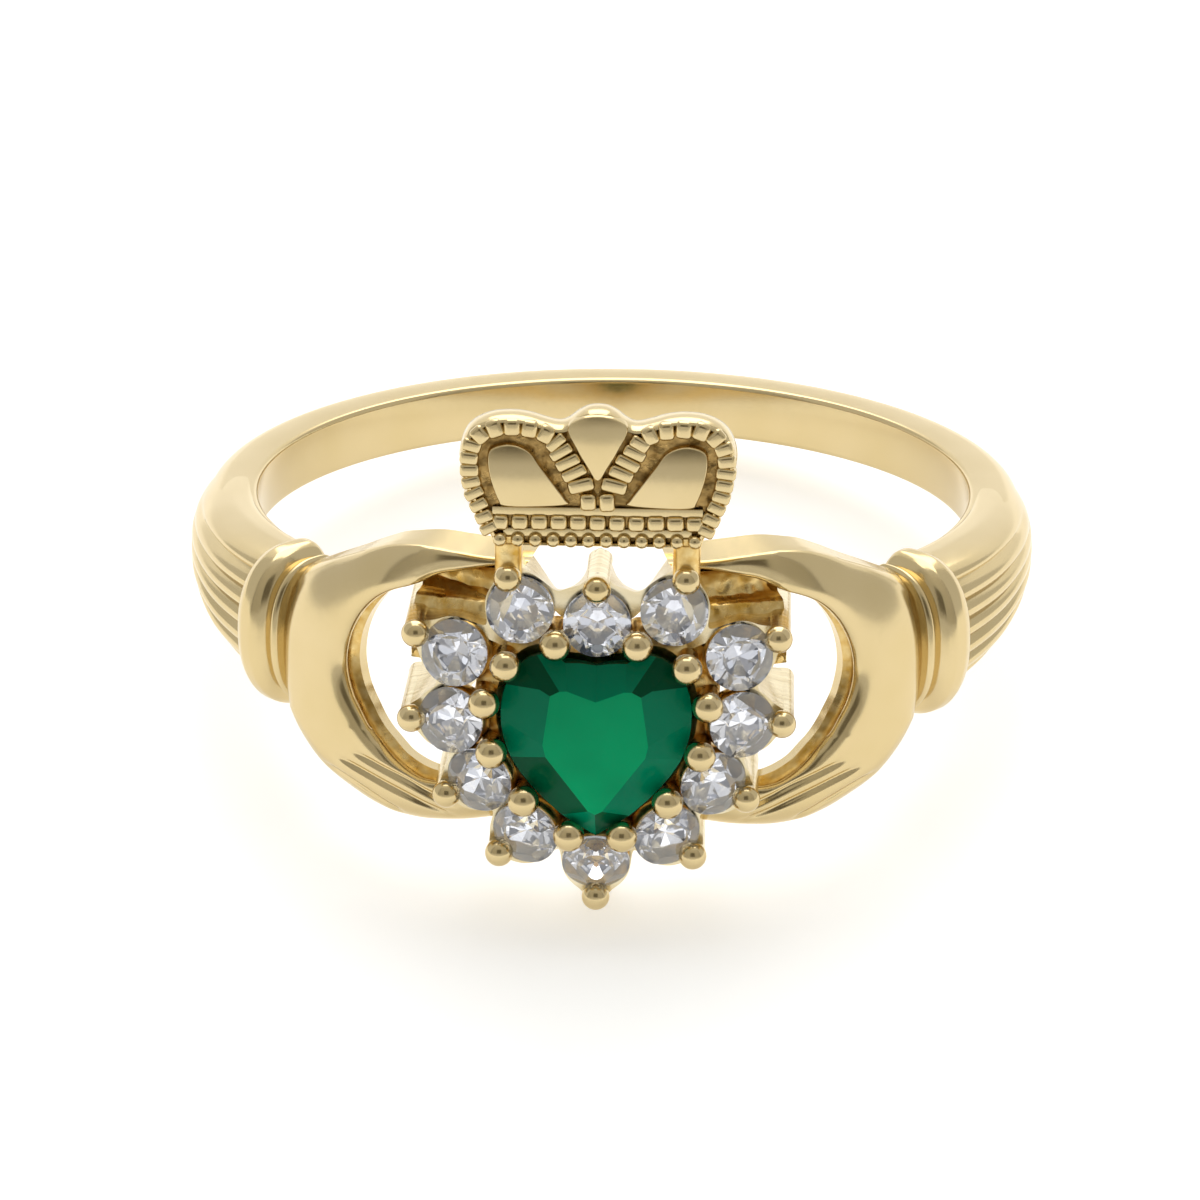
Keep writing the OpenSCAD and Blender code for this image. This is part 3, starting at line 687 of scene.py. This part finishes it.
# The heart stone: a slab with the heart's outline, cut by facets half by half
heart = {
    "width": 4.5, "y": -11.3, "z": -2.0, "crown": 0.55, "girdle": 0.12, "pavilion": 1.5, "spare": 0.2,
    # the outline in shares of the width: its point, how full its side is, then the lobe's middle,
    # radii and turn, and the notch
    "point": -0.5, "full": 2.2, "lobe": (0.27, 0.175), "lobeRadii": (0.23, 0.325), "lobeTurn": 118,
    "notch": [(0.08, 0.455), (0.0, 0.44)],
    # direction of each facet across the stone, and its slope from the table
    "crownFacets": [(-37, 33.5), (8, 26.5), (111, 39.0), (-64, 41), (-13, 31), (34, 31), (62, 31),
                    (88, 36)],
    "pavilionFacets": [(-50, 44), (-24, 42), (4, 41), (34, 40), (66, 41), (98, 43), (128, 46)],
    # directions between which a facet is one of the deep ones that get painted shade, on the right and on
    # the left
    "shadedRight": [(20, 66), (-75, -50)], "shadedLeft": [(20, 66), (-50, -25)],
    # the steep facets get the same painted shade as the deep ones
    "tableBelow": -0.98, "shadedAbove": -0.2,  # the normals' Y of the table and of steep facets
}


def heartOutline():
    half = []
    (x, z), (wide, high) = heart["lobe"], heart["lobeRadii"]
    for i in range(10):
        u = 1 - i / 10
        half.append(((x + wide) * (1 - u ** heart["full"]), mix(z, heart["point"], u)))
    for i in range(14):
        w = math.radians(heart["lobeTurn"] * i / 13)
        half.append((x + wide * math.cos(w), z + high * math.sin(w)))
    return [(x * heart["width"], z * heart["width"]) for x, z in half + heart["notch"]]


def buildHeart():
    bm = bmesh.new()
    outline = heartOutline()
    deep = heart["girdle"] + heart["pavilion"] + heart["spare"]
    verts = [bm.verts.new((x, -heart["crown"], z)) for x, z in outline]
    face = bm.faces.new(verts)
    wall = bmesh.ops.extrude_face_region(bm, geom=[face])["geom"]
    bmesh.ops.translate(bm, vec=(0, heart["crown"] + deep, 0),
                        verts=[g for g in wall if isinstance(g, bmesh.types.BMVert)])
    bmesh.ops.recalc_face_normals(bm, faces=bm.faces)
    for table, y, side in ((heart["crownFacets"], 0, -1), (heart["pavilionFacets"], heart["girdle"], 1)):
        for direction, slope in table:
            a, tilt = math.radians(direction), math.radians(slope)
            out = Vector((math.cos(a), 0, math.sin(a)))
            reach = max(out.x * x + out.z * z for x, z in outline)
            cutFacet(bm, out * reach + Vector((0, y, 0)),
                     out * math.sin(tilt) + Vector((0, side, 0)) * math.cos(tilt))
    inner = [f for f in bm.faces if all(abs(v.co.x) < 1e-4 for v in f.verts)]
    bmesh.ops.delete(bm, geom=inner, context="FACES")
    mirrorAcross(bm)
    bmesh.ops.remove_doubles(bm, verts=bm.verts, dist=0.001)
    bmesh.ops.dissolve_limit(bm, angle_limit=math.radians(0.5), verts=bm.verts, edges=bm.edges)
    bmesh.ops.recalc_face_normals(bm, faces=bm.faces)
    # Each facet takes the lit copy of the agate (the table), the shaded copy (deep and steep facets) or
    # the half-shaded one (the rest): painted light and shade
    for face in bm.faces:
        out = math.degrees(math.atan2(face.normal.z, abs(face.normal.x)))
        table = heart["shadedRight"] if face.normal.x > 0 else heart["shadedLeft"]
        deep = any(low < out < high for low, high in table) or face.normal.y > heart["shadedAbove"]
        face.material_index = 0 if face.normal.y < heart["tableBelow"] else 2 if deep else 1
    bmesh.ops.translate(bm, vec=(0, heart["y"], heart["z"]), verts=bm.verts)
    return finishPiece("heart", bm, green, stands="heart_stone", flat=True, extras=(halfShadedGreen, shadedGreen))


buildHeart()
print("heart is ready")

# The gallery: a scalloped wall that follows the halo and its claws and runs back to the finger
gallery = {
    "wall": 0.7, "front": -10.8, "backRadius": 8.8, "centreZ": -2.0,
    "round": 480, "deep": 24, "soften": 7,
    "sideShare": 0.45,  # how much of the way round the wall's section each of its two sides takes
    # how far it stays from the middle of a stone at the front and at the back, and of a claw's
    # bead, and how near a direction has to pass a stone to count as meeting it
    "stoneRoom": 0.85, "backRoom": 0.58, "clawRoom": 0.27, "near": 1.1,
    # angle from the crown's side: how far a valley stands out at the front and at the back
    "rise": [(0, 0.9), (26, 0.9), (34, 0.1), (180, 0.1)],
    "backRise": [(0, 0.3), (26, 0.3), (34, 0.0), (180, 0.0)],
}


# The front of a round wall about the finger, at a place across it
def backOfBore(x, radius):
    return -math.sqrt(max(0.1, radius ** 2 - x * x))


# How far the wall stands out in one direction: to the far side of a stone or a claw that it meets,
# or between two of them to the nearer one's middle
def galleryReach(direction, stoneRoom, rise):
    dx, dz = math.cos(direction), math.sin(direction)
    hits, near = [], []
    for k, side in bothSides(7):
        at, bead = stoneAxes(k, side)[0], outerBeadAt(k, side)
        for spot, room in ((at, stoneRoom), (bead, gallery["clawRoom"])):
            px, pz = spot.x, spot.z - gallery["centreZ"]
            along, off = px * dx + pz * dz, abs(px * dz - pz * dx)
            if along > 0 and off < room:
                hits.append(along + math.sqrt(room ** 2 - off * off))
            if along > 0 and off < gallery["near"]:
                near.append(along)
    turn = abs((math.degrees(direction) + 90) % 360 - 180)
    return max(hits + [min(near) + readTable(rise, turn)])


def buildGallery():
    bm = bmesh.new()
    count = gallery["round"]
    runs = []
    for room, rise in (("stoneRoom", "rise"), ("backRoom", "backRise")):
        reach = [galleryReach(2 * math.pi * k / count, gallery[room], gallery[rise])
                 for k in range(count)]
        for turn in range(gallery["soften"]):
            reach = [(reach[k - 1] + reach[k] + reach[(k + 1) % count]) / 3 for k in range(count)]
        runs.append(reach)

    share = gallery["sideShare"]

    def place(u, v):
        k = int(round(u * count)) % count
        direction = 2 * math.pi * k / count
        depth = min(1, v / share, (1 - v) / share)
        out = mix(runs[0][k], runs[1][k], depth)
        out -= gallery["wall"] * min(1, max(0, (v - share) / (1 - 2 * share)))
        x, z = out * math.cos(direction), gallery["centreZ"] + out * math.sin(direction)
        return Vector((x, mix(gallery["front"], backOfBore(x, gallery["backRadius"]), depth), z))

    laySheet(bm, count, gallery["deep"], place)
    bmesh.ops.remove_doubles(bm, verts=bm.verts, dist=0.0005)
    bmesh.ops.bridge_loops(bm, edges=[e for e in bm.edges if e.is_boundary])
    return finishPiece("gallery_wall", bm, layered, creaseAngle=45)


buildGallery()
print("gallery is ready")

# The claws: rounded bars from the finger side of the gallery up to a bead over each stone
claw = {
    "width": 0.58, "thick": 0.5, "round": 0.23, "innerWidth": 0.5, "innerBack": -10.2,
    # how far an outer claw's foot stands in from its bead, and its radius from the finger's middle
    "footIn": 0.08, "footRadius": 8.85, "intoBead": 0.06,
}


# A block with rounded edges, or with only its long ones rounded
def addBlock(bm, size, roundness, segments, place, longOnly):
    made = bmesh.ops.create_cube(bm, size=1)["verts"]
    edges = set(e for v in made for e in v.link_edges)
    bmesh.ops.scale(bm, vec=size, verts=made)
    edges = [e for e in edges if not longOnly or abs((e.verts[0].co - e.verts[1].co).z) > size[2] * 0.5]
    done = bmesh.ops.bevel(bm, geom=edges, offset=roundness, offset_type="OFFSET", affect="EDGES",
                           segments=segments, profile=0.5, material=-1)
    verts = [v for v in set(made) | set(done["verts"]) if v.is_valid]
    bmesh.ops.transform(bm, matrix=place, verts=verts)


def addBar(bm, start, end, width, thick, roundness):
    way = end - start
    place = Matrix.Translation((start + end) / 2) @ way.to_track_quat("Z", "Y").to_matrix().to_4x4()
    addBlock(bm, (width, thick, way.length), roundness, 5, place, True)


def addBead(bm, at, radius, squash=0.9):
    made = bmesh.ops.create_uvsphere(bm, u_segments=28, v_segments=16, radius=radius)["verts"]
    bmesh.ops.rotate(bm, verts=made, matrix=Matrix.Rotation(math.pi / 2, 3, "X"))
    bmesh.ops.scale(bm, vec=(1, squash, 1), verts=made)
    bmesh.ops.translate(bm, vec=at, verts=made)


def buildClaws():
    posts, beads, inner = bmesh.new(), bmesh.new(), bmesh.new()
    for k, side in bothSides(7):
        head = outerBeadAt(k, side)
        addBead(beads, head, halo["outerBead"])
        out = stoneAxes(k, side)[1]
        foot = head - Vector((out.x, 0, out.z)) * claw["footIn"]
        foot.y = backOfBore(foot.x, claw["footRadius"])
        top = head + Vector((0, claw["intoBead"], 0))
        addBar(posts, foot, top, claw["width"], claw["thick"], claw["round"])
    for k in range(6):
        for side in (1, -1):
            head = innerBeadAt(k, side)
            addBead(beads, head, halo["innerBead"])
            foot = Vector((head.x, claw["innerBack"], head.z))
            addBar(inner, foot, head, claw["innerWidth"], claw["innerWidth"], claw["round"])
    for bm, name, material in ((posts, "outer_claw_posts", layered), (inner, "inner_claw_posts", cast),
                               (beads, "claw_beads", gold)):
        finishPiece(name, bm, material, creaseAngle=50)


buildClaws()
print("claws are ready")

# The seats: a small cup under each round stone and a rail under the heart
seat = {
    "cupRound": 40, "railY": -10.95, "railDeep": 0.7,
    # round a cup's section: distance out from the stone's girdle, and height
    "cup": [(-0.06, -0.16), (-0.02, -0.2), (0.0, -0.5), (-0.14, -0.85), (-0.3, -0.95), (-0.36, -0.85),
            (-0.24, -0.45), (-0.12, -0.22)],
    # round the rail's section: share of the heart's outline, and share of the rail's depth
    "rail": [(1.26, 0.45), (1.26, 1.0), (0.84, 1.0), (0.84, 0.3), (1.06, 0.0), (1.26, 0.45)],
}


def buildSeats():
    bm = bmesh.new()
    for k, side in bothSides(7):
        verts = [bm.verts.new((halo["size"] / 2 + out, 0, up)) for out, up in seat["cup"]]
        edges = [bm.edges.new((verts[j - 1], verts[j])) for j in range(len(verts))]
        bmesh.ops.spin(bm, geom=verts + edges, cent=(0, 0, 0), axis=(0, 0, 1),
                       angle=2 * math.pi, steps=seat["cupRound"], use_merge=True)
        bmesh.ops.transform(bm, matrix=stoneFrame(k, side), verts=[v for v in bm.verts if not v.tag])
        for v in bm.verts:
            v.tag = True
    closeSheet(bm)
    finishPiece("stone_cups", bm, cast, creaseAngle=45)

    rail = bmesh.new()
    right = heartOutline()
    outline = right + [(-x, z) for x, z in right[-2:0:-1]]
    count, sides = len(outline), len(seat["rail"]) - 1

    def place(u, v):
        x, z = outline[int(round(u * count)) % count]
        share, depth = seat["rail"][int(round(v * sides))]
        return Vector((x * share, seat["railY"] + depth * seat["railDeep"], z * share + heart["z"]))

    laySheet(rail, count, sides, place)
    closeSheet(rail)
    finishPiece("heart_seat", rail, cast, creaseAngle=35)


buildSeats()
print("seats are ready")

# The shoulders: rough cast walls that join the finger tips to the head, with a ledge part way up
shoulder = {
    "fromAngle": 11, "toAngle": 24.5, "steps": 50, "round": 60, "inner": 9.2, "rough": 0.04,
    "frontShare": 0.8,  # how much of the way round the wall's section its front takes
    # height: radius of the wall's front
    "front": [(-0.4, 10.7), (0.5, 10.62), (0.95, 10.5), (1.12, 10.42), (1.2, 10.12), (1.5, 10.05),
              (1.75, 10.1), (1.95, 10.3)],
}


def buildShoulders():
    bm = bmesh.new()
    rows, share = shoulder["front"], shoulder["frontShare"]

    def place(u, v):
        angle = mix(shoulder["fromAngle"], shoulder["toAngle"], v)
        if u < share:
            z = mix(rows[0][0], rows[-1][0], u / share)
            rough = shoulder["rough"] * noise.noise(Vector((angle * 0.9, z * 4, 1.7))) if 0 < u else 0
            return atAngle(readTable(rows, z) + rough, angle, z)
        z = mix(rows[-1][0], rows[0][0], (u - share) / (1 - share))
        return atAngle(shoulder["inner"], angle, z)

    laySheet(bm, shoulder["round"], shoulder["steps"], place)
    closeSheet(bm)
    mirrorAcross(bm)
    return finishPiece("shoulders", bm, cast, creaseAngle=50)


buildShoulders()
print("shoulders are ready")

# The crown: a three-lobed plate with a rolled edge, milled teeth, petals and a shield
crown = {
    "middleZ": 4.4, "floor": 0.22, "steps": 26,
    "outline": [(2.38, 2.84), (2.59, 3.2), (2.86, 3.72), (3.09, 4.2), (3.21, 4.65), (3.25, 5.07),
                (3.16, 5.46), (2.93, 5.79), (2.5, 6.0), (2.02, 6.05), (1.6, 6.0), (1.2, 5.88),
                (0.9, 5.82), (0.68, 5.9), (0.46, 6.07), (0.23, 6.19), (0, 6.22)],
    # share of the way round the plate's edge, from its back to its floor: distance in from the
    # outline, and depth behind the front
    "edge": [(0.1, 0.8), (0.03, 0.76), (0.0, 0.68), (0.0, 0.42), (0.01, 0.26), (0.04, 0.13), (0.09, 0.05),
             (0.14, 0.03), (0.17, 0.07), (0.2, 0.22)],
    # milled teeth along the side and the top of a lobe: place, direction, width along the edge
    # and length across it
    "teeth": [(2.55, 3.3, 62, 0.25, 0.4), (2.66, 3.58, 64, 0.27, 0.42), (2.78, 3.87, 66, 0.28, 0.42),
              (2.89, 4.15, 70, 0.28, 0.44), (2.96, 4.43, 77, 0.28, 0.44), (3.0, 4.72, 85, 0.28, 0.46),
              (3.01, 5.02, 94, 0.29, 0.44), (2.95, 5.32, 110, 0.3, 0.44), (2.76, 5.58, 133, 0.34, 0.44),
              (2.42, 5.74, 160, 0.38, 0.44), (2.01, 5.78, 180, 0.4, 0.42), (1.6, 5.74, 190, 0.39, 0.42),
              (1.22, 5.62, 204, 0.36, 0.44)],
    # the teeth that make the two arms of the V
    "arm": [(0.98, 5.43, 232, 0.26, 0.5), (0.86, 5.2, 240, 0.25, 0.56), (0.7, 4.95, 242, 0.26, 0.6),
            (0.55, 4.69, 244, 0.27, 0.6), (0.39, 4.38, 258, 0.34, 0.6), (0.22, 3.97, 270, 0.4, 0.38)],
    "petal": [(2.57, 5.0), (2.48, 5.26), (2.06, 5.37), (1.63, 5.22), (1.36, 4.87), (1.05, 4.45),
              (0.76, 4.03), (0.73, 3.9), (1.4, 3.86), (2.17, 3.87), (2.33, 4.03), (2.51, 4.56)],
    # a panel's height at its rim, how much higher its middle is, and how far that dome reaches
    "petalMiddle": (1.85, 4.5), "petalDome": (0.2, 0.12, (1.3, 0.95)),
    "shield": [(0.7, 5.78), (0.4, 6.04), (0, 6.12), (-0.4, 6.04), (-0.7, 5.78), (-0.49, 5.3),
               (-0.24, 4.86), (0, 4.5), (0.24, 4.86), (0.49, 5.3)],
    "shieldMiddle": (0, 5.42), "shieldDome": (0.17, 0.17, (1.0, 1.1)),
    # from a panel's foot to its face: share of its outline, and share of its height still missing
    "panelEdge": [(1.03, 1), (1.02, 0.4), (1.0, 0.12), (0.985, 0.04), (0.96, 0.01)], "panelRings": 16,
    "panelFoot": 0.03,
    # each tooth differs by a sway from -1 to 1: the degrees that a full one turns it, then the
    # share of its width and length and its height above the edge, each without sway and what a
    # full one adds
    "tall": 0.42, "toothRound": 0.3, "turnSway": 14, "wideSway": (1.1, 0.2), "longSway": (1.04, -0.1),
    "highSway": (0.02, 0.03),
    "squareZ": 3.45, "squareCount": 11, "squareStep": 0.456, "squareSize": (0.42, 0.38, 0.4),
    "squareSway": (0.02, 5, 0.04),  # what a full sway adds to place, turn and width
    "smallZ": 3.03, "smallCount": 12, "smallStep": 0.415, "smallRadius": 0.17, "smallBehind": 0.06,
    "ledgeZ": (3.72, 3.2), "ledgeHalf": 2.33, "ledgeSpread": 0.5, "ledgeBehind": 0.14,
    "ledgeBar": (0.05, 0.2, 0.02),  # its width, depth and rounding
}


# A rounded block on the crown's floor that stands up to about the height of its edge
def addTooth(bm, x, z, degrees, wide, long, tall, high=0.0):
    turn = Matrix.Rotation(-math.radians(degrees), 4, "Y")
    place = Matrix.Translation((x, ring["crownY"] + tall / 2 - high, z))
    addBlock(bm, (wide, tall, long), min(wide, long) * crown["toothRound"], 4, place @ turn, False)


# A polished panel: a wall up from the floor, a small round and a smooth dome about its middle
def addPanel(bm, points, middle, rise, dome, reach):
    curve = throughPoints(points, 10, True)
    count = len(curve)
    floorY = ring["crownY"] + crown["floor"] + crown["panelFoot"]
    last, faceRings = crown["panelEdge"][-1][0], crown["panelRings"]
    rings = crown["panelEdge"] + [(last * (1 - t / faceRings), 0) for t in range(faceRings + 1)]

    def place(u, v):
        x, z = curve[int(round(u * count)) % count]
        share, missing = rings[int(round(v * (len(rings) - 1)))]
        x, z = mix(middle[0], x, share), mix(middle[1], z, share)
        height = rise + dome * (1 - ((x - middle[0]) / reach[0]) ** 2 - ((z - middle[1]) / reach[1]) ** 2)
        return Vector((x, floorY - height * (1 - missing), z))

    laySheet(bm, count, len(rings) - 1, place)


def buildPlate():
    bm = bmesh.new()
    right = throughPoints(crown["outline"], 8, False)
    curve = right + [(-x, z) for x, z in right[-2::-1]]
    count = len(curve)
    inward = []
    for k in range(count):
        a, b = curve[(k - 1) % count], curve[(k + 1) % count]
        length = math.hypot(b[0] - a[0], b[1] - a[1])
        inward.append((-(b[1] - a[1]) / length, (b[0] - a[0]) / length))
    for turn in range(3):
        inward = [tuple((inward[k - 1][c] + inward[k][c] + inward[(k + 1) % count][c]) / 3
                        for c in (0, 1)) for k in range(count)]
    edge, steps = crown["edge"], crown["steps"]

    def place(u, v):
        k = int(round(u * count)) % count
        j = int(round(v * steps))
        inset, depth = edge[min(j, len(edge) - 1)]
        x, z = curve[k][0] + inward[k][0] * inset, curve[k][1] + inward[k][1] * inset
        share = max(0, j - len(edge) + 1) / (steps - len(edge) + 1)
        return Vector((x * (1 - share), ring["crownY"] + depth, mix(z, crown["middleZ"], share)))

    laySheet(bm, count, steps, place)
    # the floor's faces take the darker copy of the cast gold: painted shade between the teeth
    for v in bm.verts:
        v.tag = abs(v.co.y - ring["crownY"] - crown["floor"]) < 0.02
    for face in bm.faces:
        face.material_index = 1 if all(v.tag for v in face.verts) else 0
    closeSheet(bm)
    return finishPiece("crown_plate", bm, gold, creaseAngle=50, extras=(shadedFloorGold,))


def buildCrown():
    buildPlate()
    teeth = bmesh.new()
    for k, (x, z, degrees, wide, long) in enumerate(crown["teeth"] + crown["arm"]):
        for side in (1, -1):
            sway = noise.noise(Vector((k * 1.7, side * 2.3, 0.5)))
            swayed = [own + more * sway for own, more in (crown["wideSway"], crown["longSway"],
                                                          crown["highSway"])]
            addTooth(teeth, side * x, z, side * (degrees + crown["turnSway"] * sway), wide * swayed[0],
                     long * swayed[1], crown["tall"], swayed[2])
    (wide, long, tall), (rise, turn, widen) = crown["squareSize"], crown["squareSway"]
    for k in range(crown["squareCount"]):
        x = (k - (crown["squareCount"] - 1) / 2) * crown["squareStep"]
        sway = noise.noise(Vector((k * 2.1, 4.4, 0.5)))
        addTooth(teeth, x, crown["squareZ"] + rise * sway, turn * sway, wide + widen * sway, long, tall)
    for k in range(crown["smallCount"]):
        x = (k - (crown["smallCount"] - 1) / 2) * crown["smallStep"]
        addBead(teeth, Vector((x, ring["crownY"] + crown["smallBehind"], crown["smallZ"])),
                crown["smallRadius"])
    y = ring["crownY"] + crown["ledgeBehind"]
    for z in crown["ledgeZ"]:
        half = crown["ledgeHalf"] + crown["ledgeSpread"] * (z - crown["squareZ"])
        addBar(teeth, Vector((-half, y, z)), Vector((half, y, z)), *crown["ledgeBar"])
    finishPiece("crown_teeth", teeth, gold, creaseAngle=50)

    panels = bmesh.new()
    left = [(-x, z) for x, z in reversed(crown["petal"])]
    x, z = crown["petalMiddle"]
    addPanel(panels, crown["petal"], (x, z), *crown["petalDome"])
    addPanel(panels, left, (-x, z), *crown["petalDome"])
    addPanel(panels, crown["shield"], crown["shieldMiddle"], *crown["shieldDome"])
    closeSheet(panels)
    finishPiece("crown_panels", panels, gold, creaseAngle=50)


buildCrown()
print("crown is ready")

# The posts that carry the crown on the claws beside the top stone
post = {"x": 2.09, "y": -10.85, "low": 1.9, "high": 3.1, "wide": 0.64, "deep": 0.7, "round": 0.24}


def buildPosts():
    bm = bmesh.new()
    for side in (1, -1):
        low, high = (Vector((side * post["x"], post["y"], post[end])) for end in ("low", "high"))
        addBar(bm, low, high, post["wide"], post["deep"], post["round"])
    return finishPiece("crown_posts", bm, cast, creaseAngle=50)


buildPosts()
print("posts are ready")

# The table: one pale frosted sheet, lit faintly from below, that curves up behind the ring
studio = {
    "floorZ": cadBox[0][2], "half": 0.9, "before": -0.6, "behind": 0.7, "curve": 0.35, "height": 1.2,
    "lightPower": 2.3, "lightSize": (0.5, 0.75), "lightAt": (0.0, 0.36, 0.5), "lightAim": (0, 0, 0.002),
}


def buildStage():
    material, tree, place = newMaterial("Frosted white acrylic")
    grain = addNode(tree, "TexNoise", [(place, "Vector")], Scale=0.4 * perMetre, Detail=2.0)
    tone = addNode(tree, "ValToRGB", [(grain, "Fac")], [(0, "#ececeb"), (1, "#f0f0ef")])
    shader = addNode(tree, "BsdfPrincipled", [(tone, "Base Color")],
                     Roughness=0.7, Emission_Color=toLinear("#fffefc"), Emission_Strength=0.4)
    addNode(tree, "OutputMaterial", [(shader, "Surface")])
    bm = bmesh.new()

    def place(u, v):
        x = mix(-studio["half"], studio["half"], u)
        run = v * 3
        if run < 1:
            y, z = mix(studio["before"], studio["behind"], run), 0
        elif run < 2:
            a = (run - 1) * math.pi / 2
            y, z = studio["behind"] + studio["curve"] * math.sin(a), studio["curve"] * (1 - math.cos(a))
        else:
            y, z = studio["behind"] + studio["curve"], studio["curve"] + (run - 2) * studio["height"]
        return Vector((x, y, studio["floorZ"] + z))

    laySheet(bm, 2, 48, place)
    bmesh.ops.recalc_face_normals(bm, faces=bm.faces)
    for face in bm.faces:
        face.smooth = True
    makeObject("card_sweep", bm, (material,))


def buildLight():
    data = bpy.data.lights.new("soft box above", "AREA")
    data.shape = "RECTANGLE"
    data.size, data.size_y = studio["lightSize"]
    data.energy = studio["lightPower"]
    lamp = bpy.data.objects.new("soft box above", data)
    lamp.location = studio["lightAt"]
    way = Vector(studio["lightAim"]) - Vector(studio["lightAt"])
    lamp.rotation_euler = way.to_track_quat("-Z", "Y").to_euler()
    scene.collection.objects.link(lamp)


# The open front of the light tent: a dim room that the polished gold mirrors, with a dark seam
# down each side. The cards stand behind the camera, and their corners are measured across and up
# from its line of sight
tent = {
    "away": 0.45,  # metres behind the ring's middle along that line
    # half the width at the bottom and the top, and how high the bottom's middle, its ends and the
    # top are, each as a share of the distance
    "room": (2.79, 0.93, -0.36, -0.62, 1.08),
    "seam": 0.06, "seamAt": 0.98,
    "cameraSize": (0.56, 0.5), "cameraAt": 0.96,  # the dark front of the camera
}


def addCard(name, place, deep, pale, sight):
    material, tree, spot = newMaterial("Matt cloth, " + name)
    nap = addNode(tree, "TexNoise", [(spot, "Vector")], Scale=0.02 * perMetre, Detail=2.0)
    tone = addNode(tree, "ValToRGB", [(nap, "Fac")], [(0, deep), (1, pale)])
    shader = addNode(tree, "BsdfPrincipled", [(tone, "Base Color")], Roughness=0.9)
    addNode(tree, "OutputMaterial", [(shader, "Surface")])
    bm = bmesh.new()
    laySheet(bm, 8, 8, lambda u, v: sight @ (place(u, v) * tent["away"]))
    makeObject(name, bm, (material,))


def buildTent():
    wide, narrow, middle, ends, top = tent["room"]
    sight = scene.camera.matrix_world.to_3x3().to_4x4()

    def room(u, v):
        low = mix(middle, ends, abs(2 * u - 1))
        return Vector((mix(wide, narrow, v) * (2 * u - 1), mix(low, top, v), 1))

    def seam(side):
        return lambda u, v: Vector((side * (mix(wide, narrow, v) + tent["seam"] * (u - 0.5)),
                                    mix(ends, top, v), tent["seamAt"]))

    addCard("tent_room", room, "#a6a49f", "#b6b4af", sight)
    addCard("tent_seam_right", seam(1), "#1d1c1a", "#262523", sight)
    addCard("tent_seam_left", seam(-1), "#1d1c1a", "#262523", sight)
    across, high = tent["cameraSize"]
    addCard("camera_front", lambda u, v: Vector((across * (u - 0.5), high * (v - 0.5), tent["cameraAt"])),
            "#56524a", "#645f57", sight)


def buildStudio():
    buildStage()
    buildTent()
    buildLight()
    world = bpy.data.worlds.new("studio")
    world.use_nodes = True
    tree = world.node_tree
    tree.nodes.clear()
    back = addNode(tree, "Background", Color=toLinear("#fdfdfc"), Strength=0.68)
    addNode(tree, "OutputWorld", [(back, "Surface")])
    scene.world = world
    scene.view_settings.view_transform = "Standard"


# The camera: measured from the photograph on the ring's own axes, then laid down with the ring
view = {
    # degrees, then millimetres
    "elevation": 18.279, "azimuth": 1.9, "roll": 0.329, "distance": 300, "sensor": 36,
    # the photograph's pixels to a millimetre, the place of the ring's middle in it, and its width
    "scale": 41.056, "centre": (613.3, 514.1), "pixels": 1200,
}


def buildCamera():
    e, a, r = (math.radians(view[k]) for k in ("elevation", "azimuth", "roll"))
    back = Vector((math.sin(a) * math.cos(e), -math.cos(a) * math.cos(e), math.sin(e)))
    right = Vector((math.cos(a), math.sin(a), 0))
    up = back.cross(right)
    turned = right * math.cos(r) + up * math.sin(r)
    upright = up * math.cos(r) - right * math.sin(r)
    place = Matrix((turned, upright, back)).transposed().to_4x4()
    place.translation = back * view["distance"] * 0.001
    camera = bpy.data.objects.new("camera", bpy.data.cameras.new("camera"))
    scene.collection.objects.link(camera)
    camera.matrix_world = layDown @ place
    camera.data.sensor_width = view["sensor"]
    camera.data.lens = view["sensor"] * view["scale"] * view["distance"] / view["pixels"]
    camera.data.shift_x = (view["pixels"] / 2 - view["centre"][0]) / view["pixels"]
    camera.data.shift_y = (view["centre"][1] - view["pixels"] / 2) / view["pixels"]
    camera.data.clip_start = 0.01
    camera.data.clip_end = 10
    scene.camera = camera


buildCamera()
buildStudio()
print("studio and camera are ready")
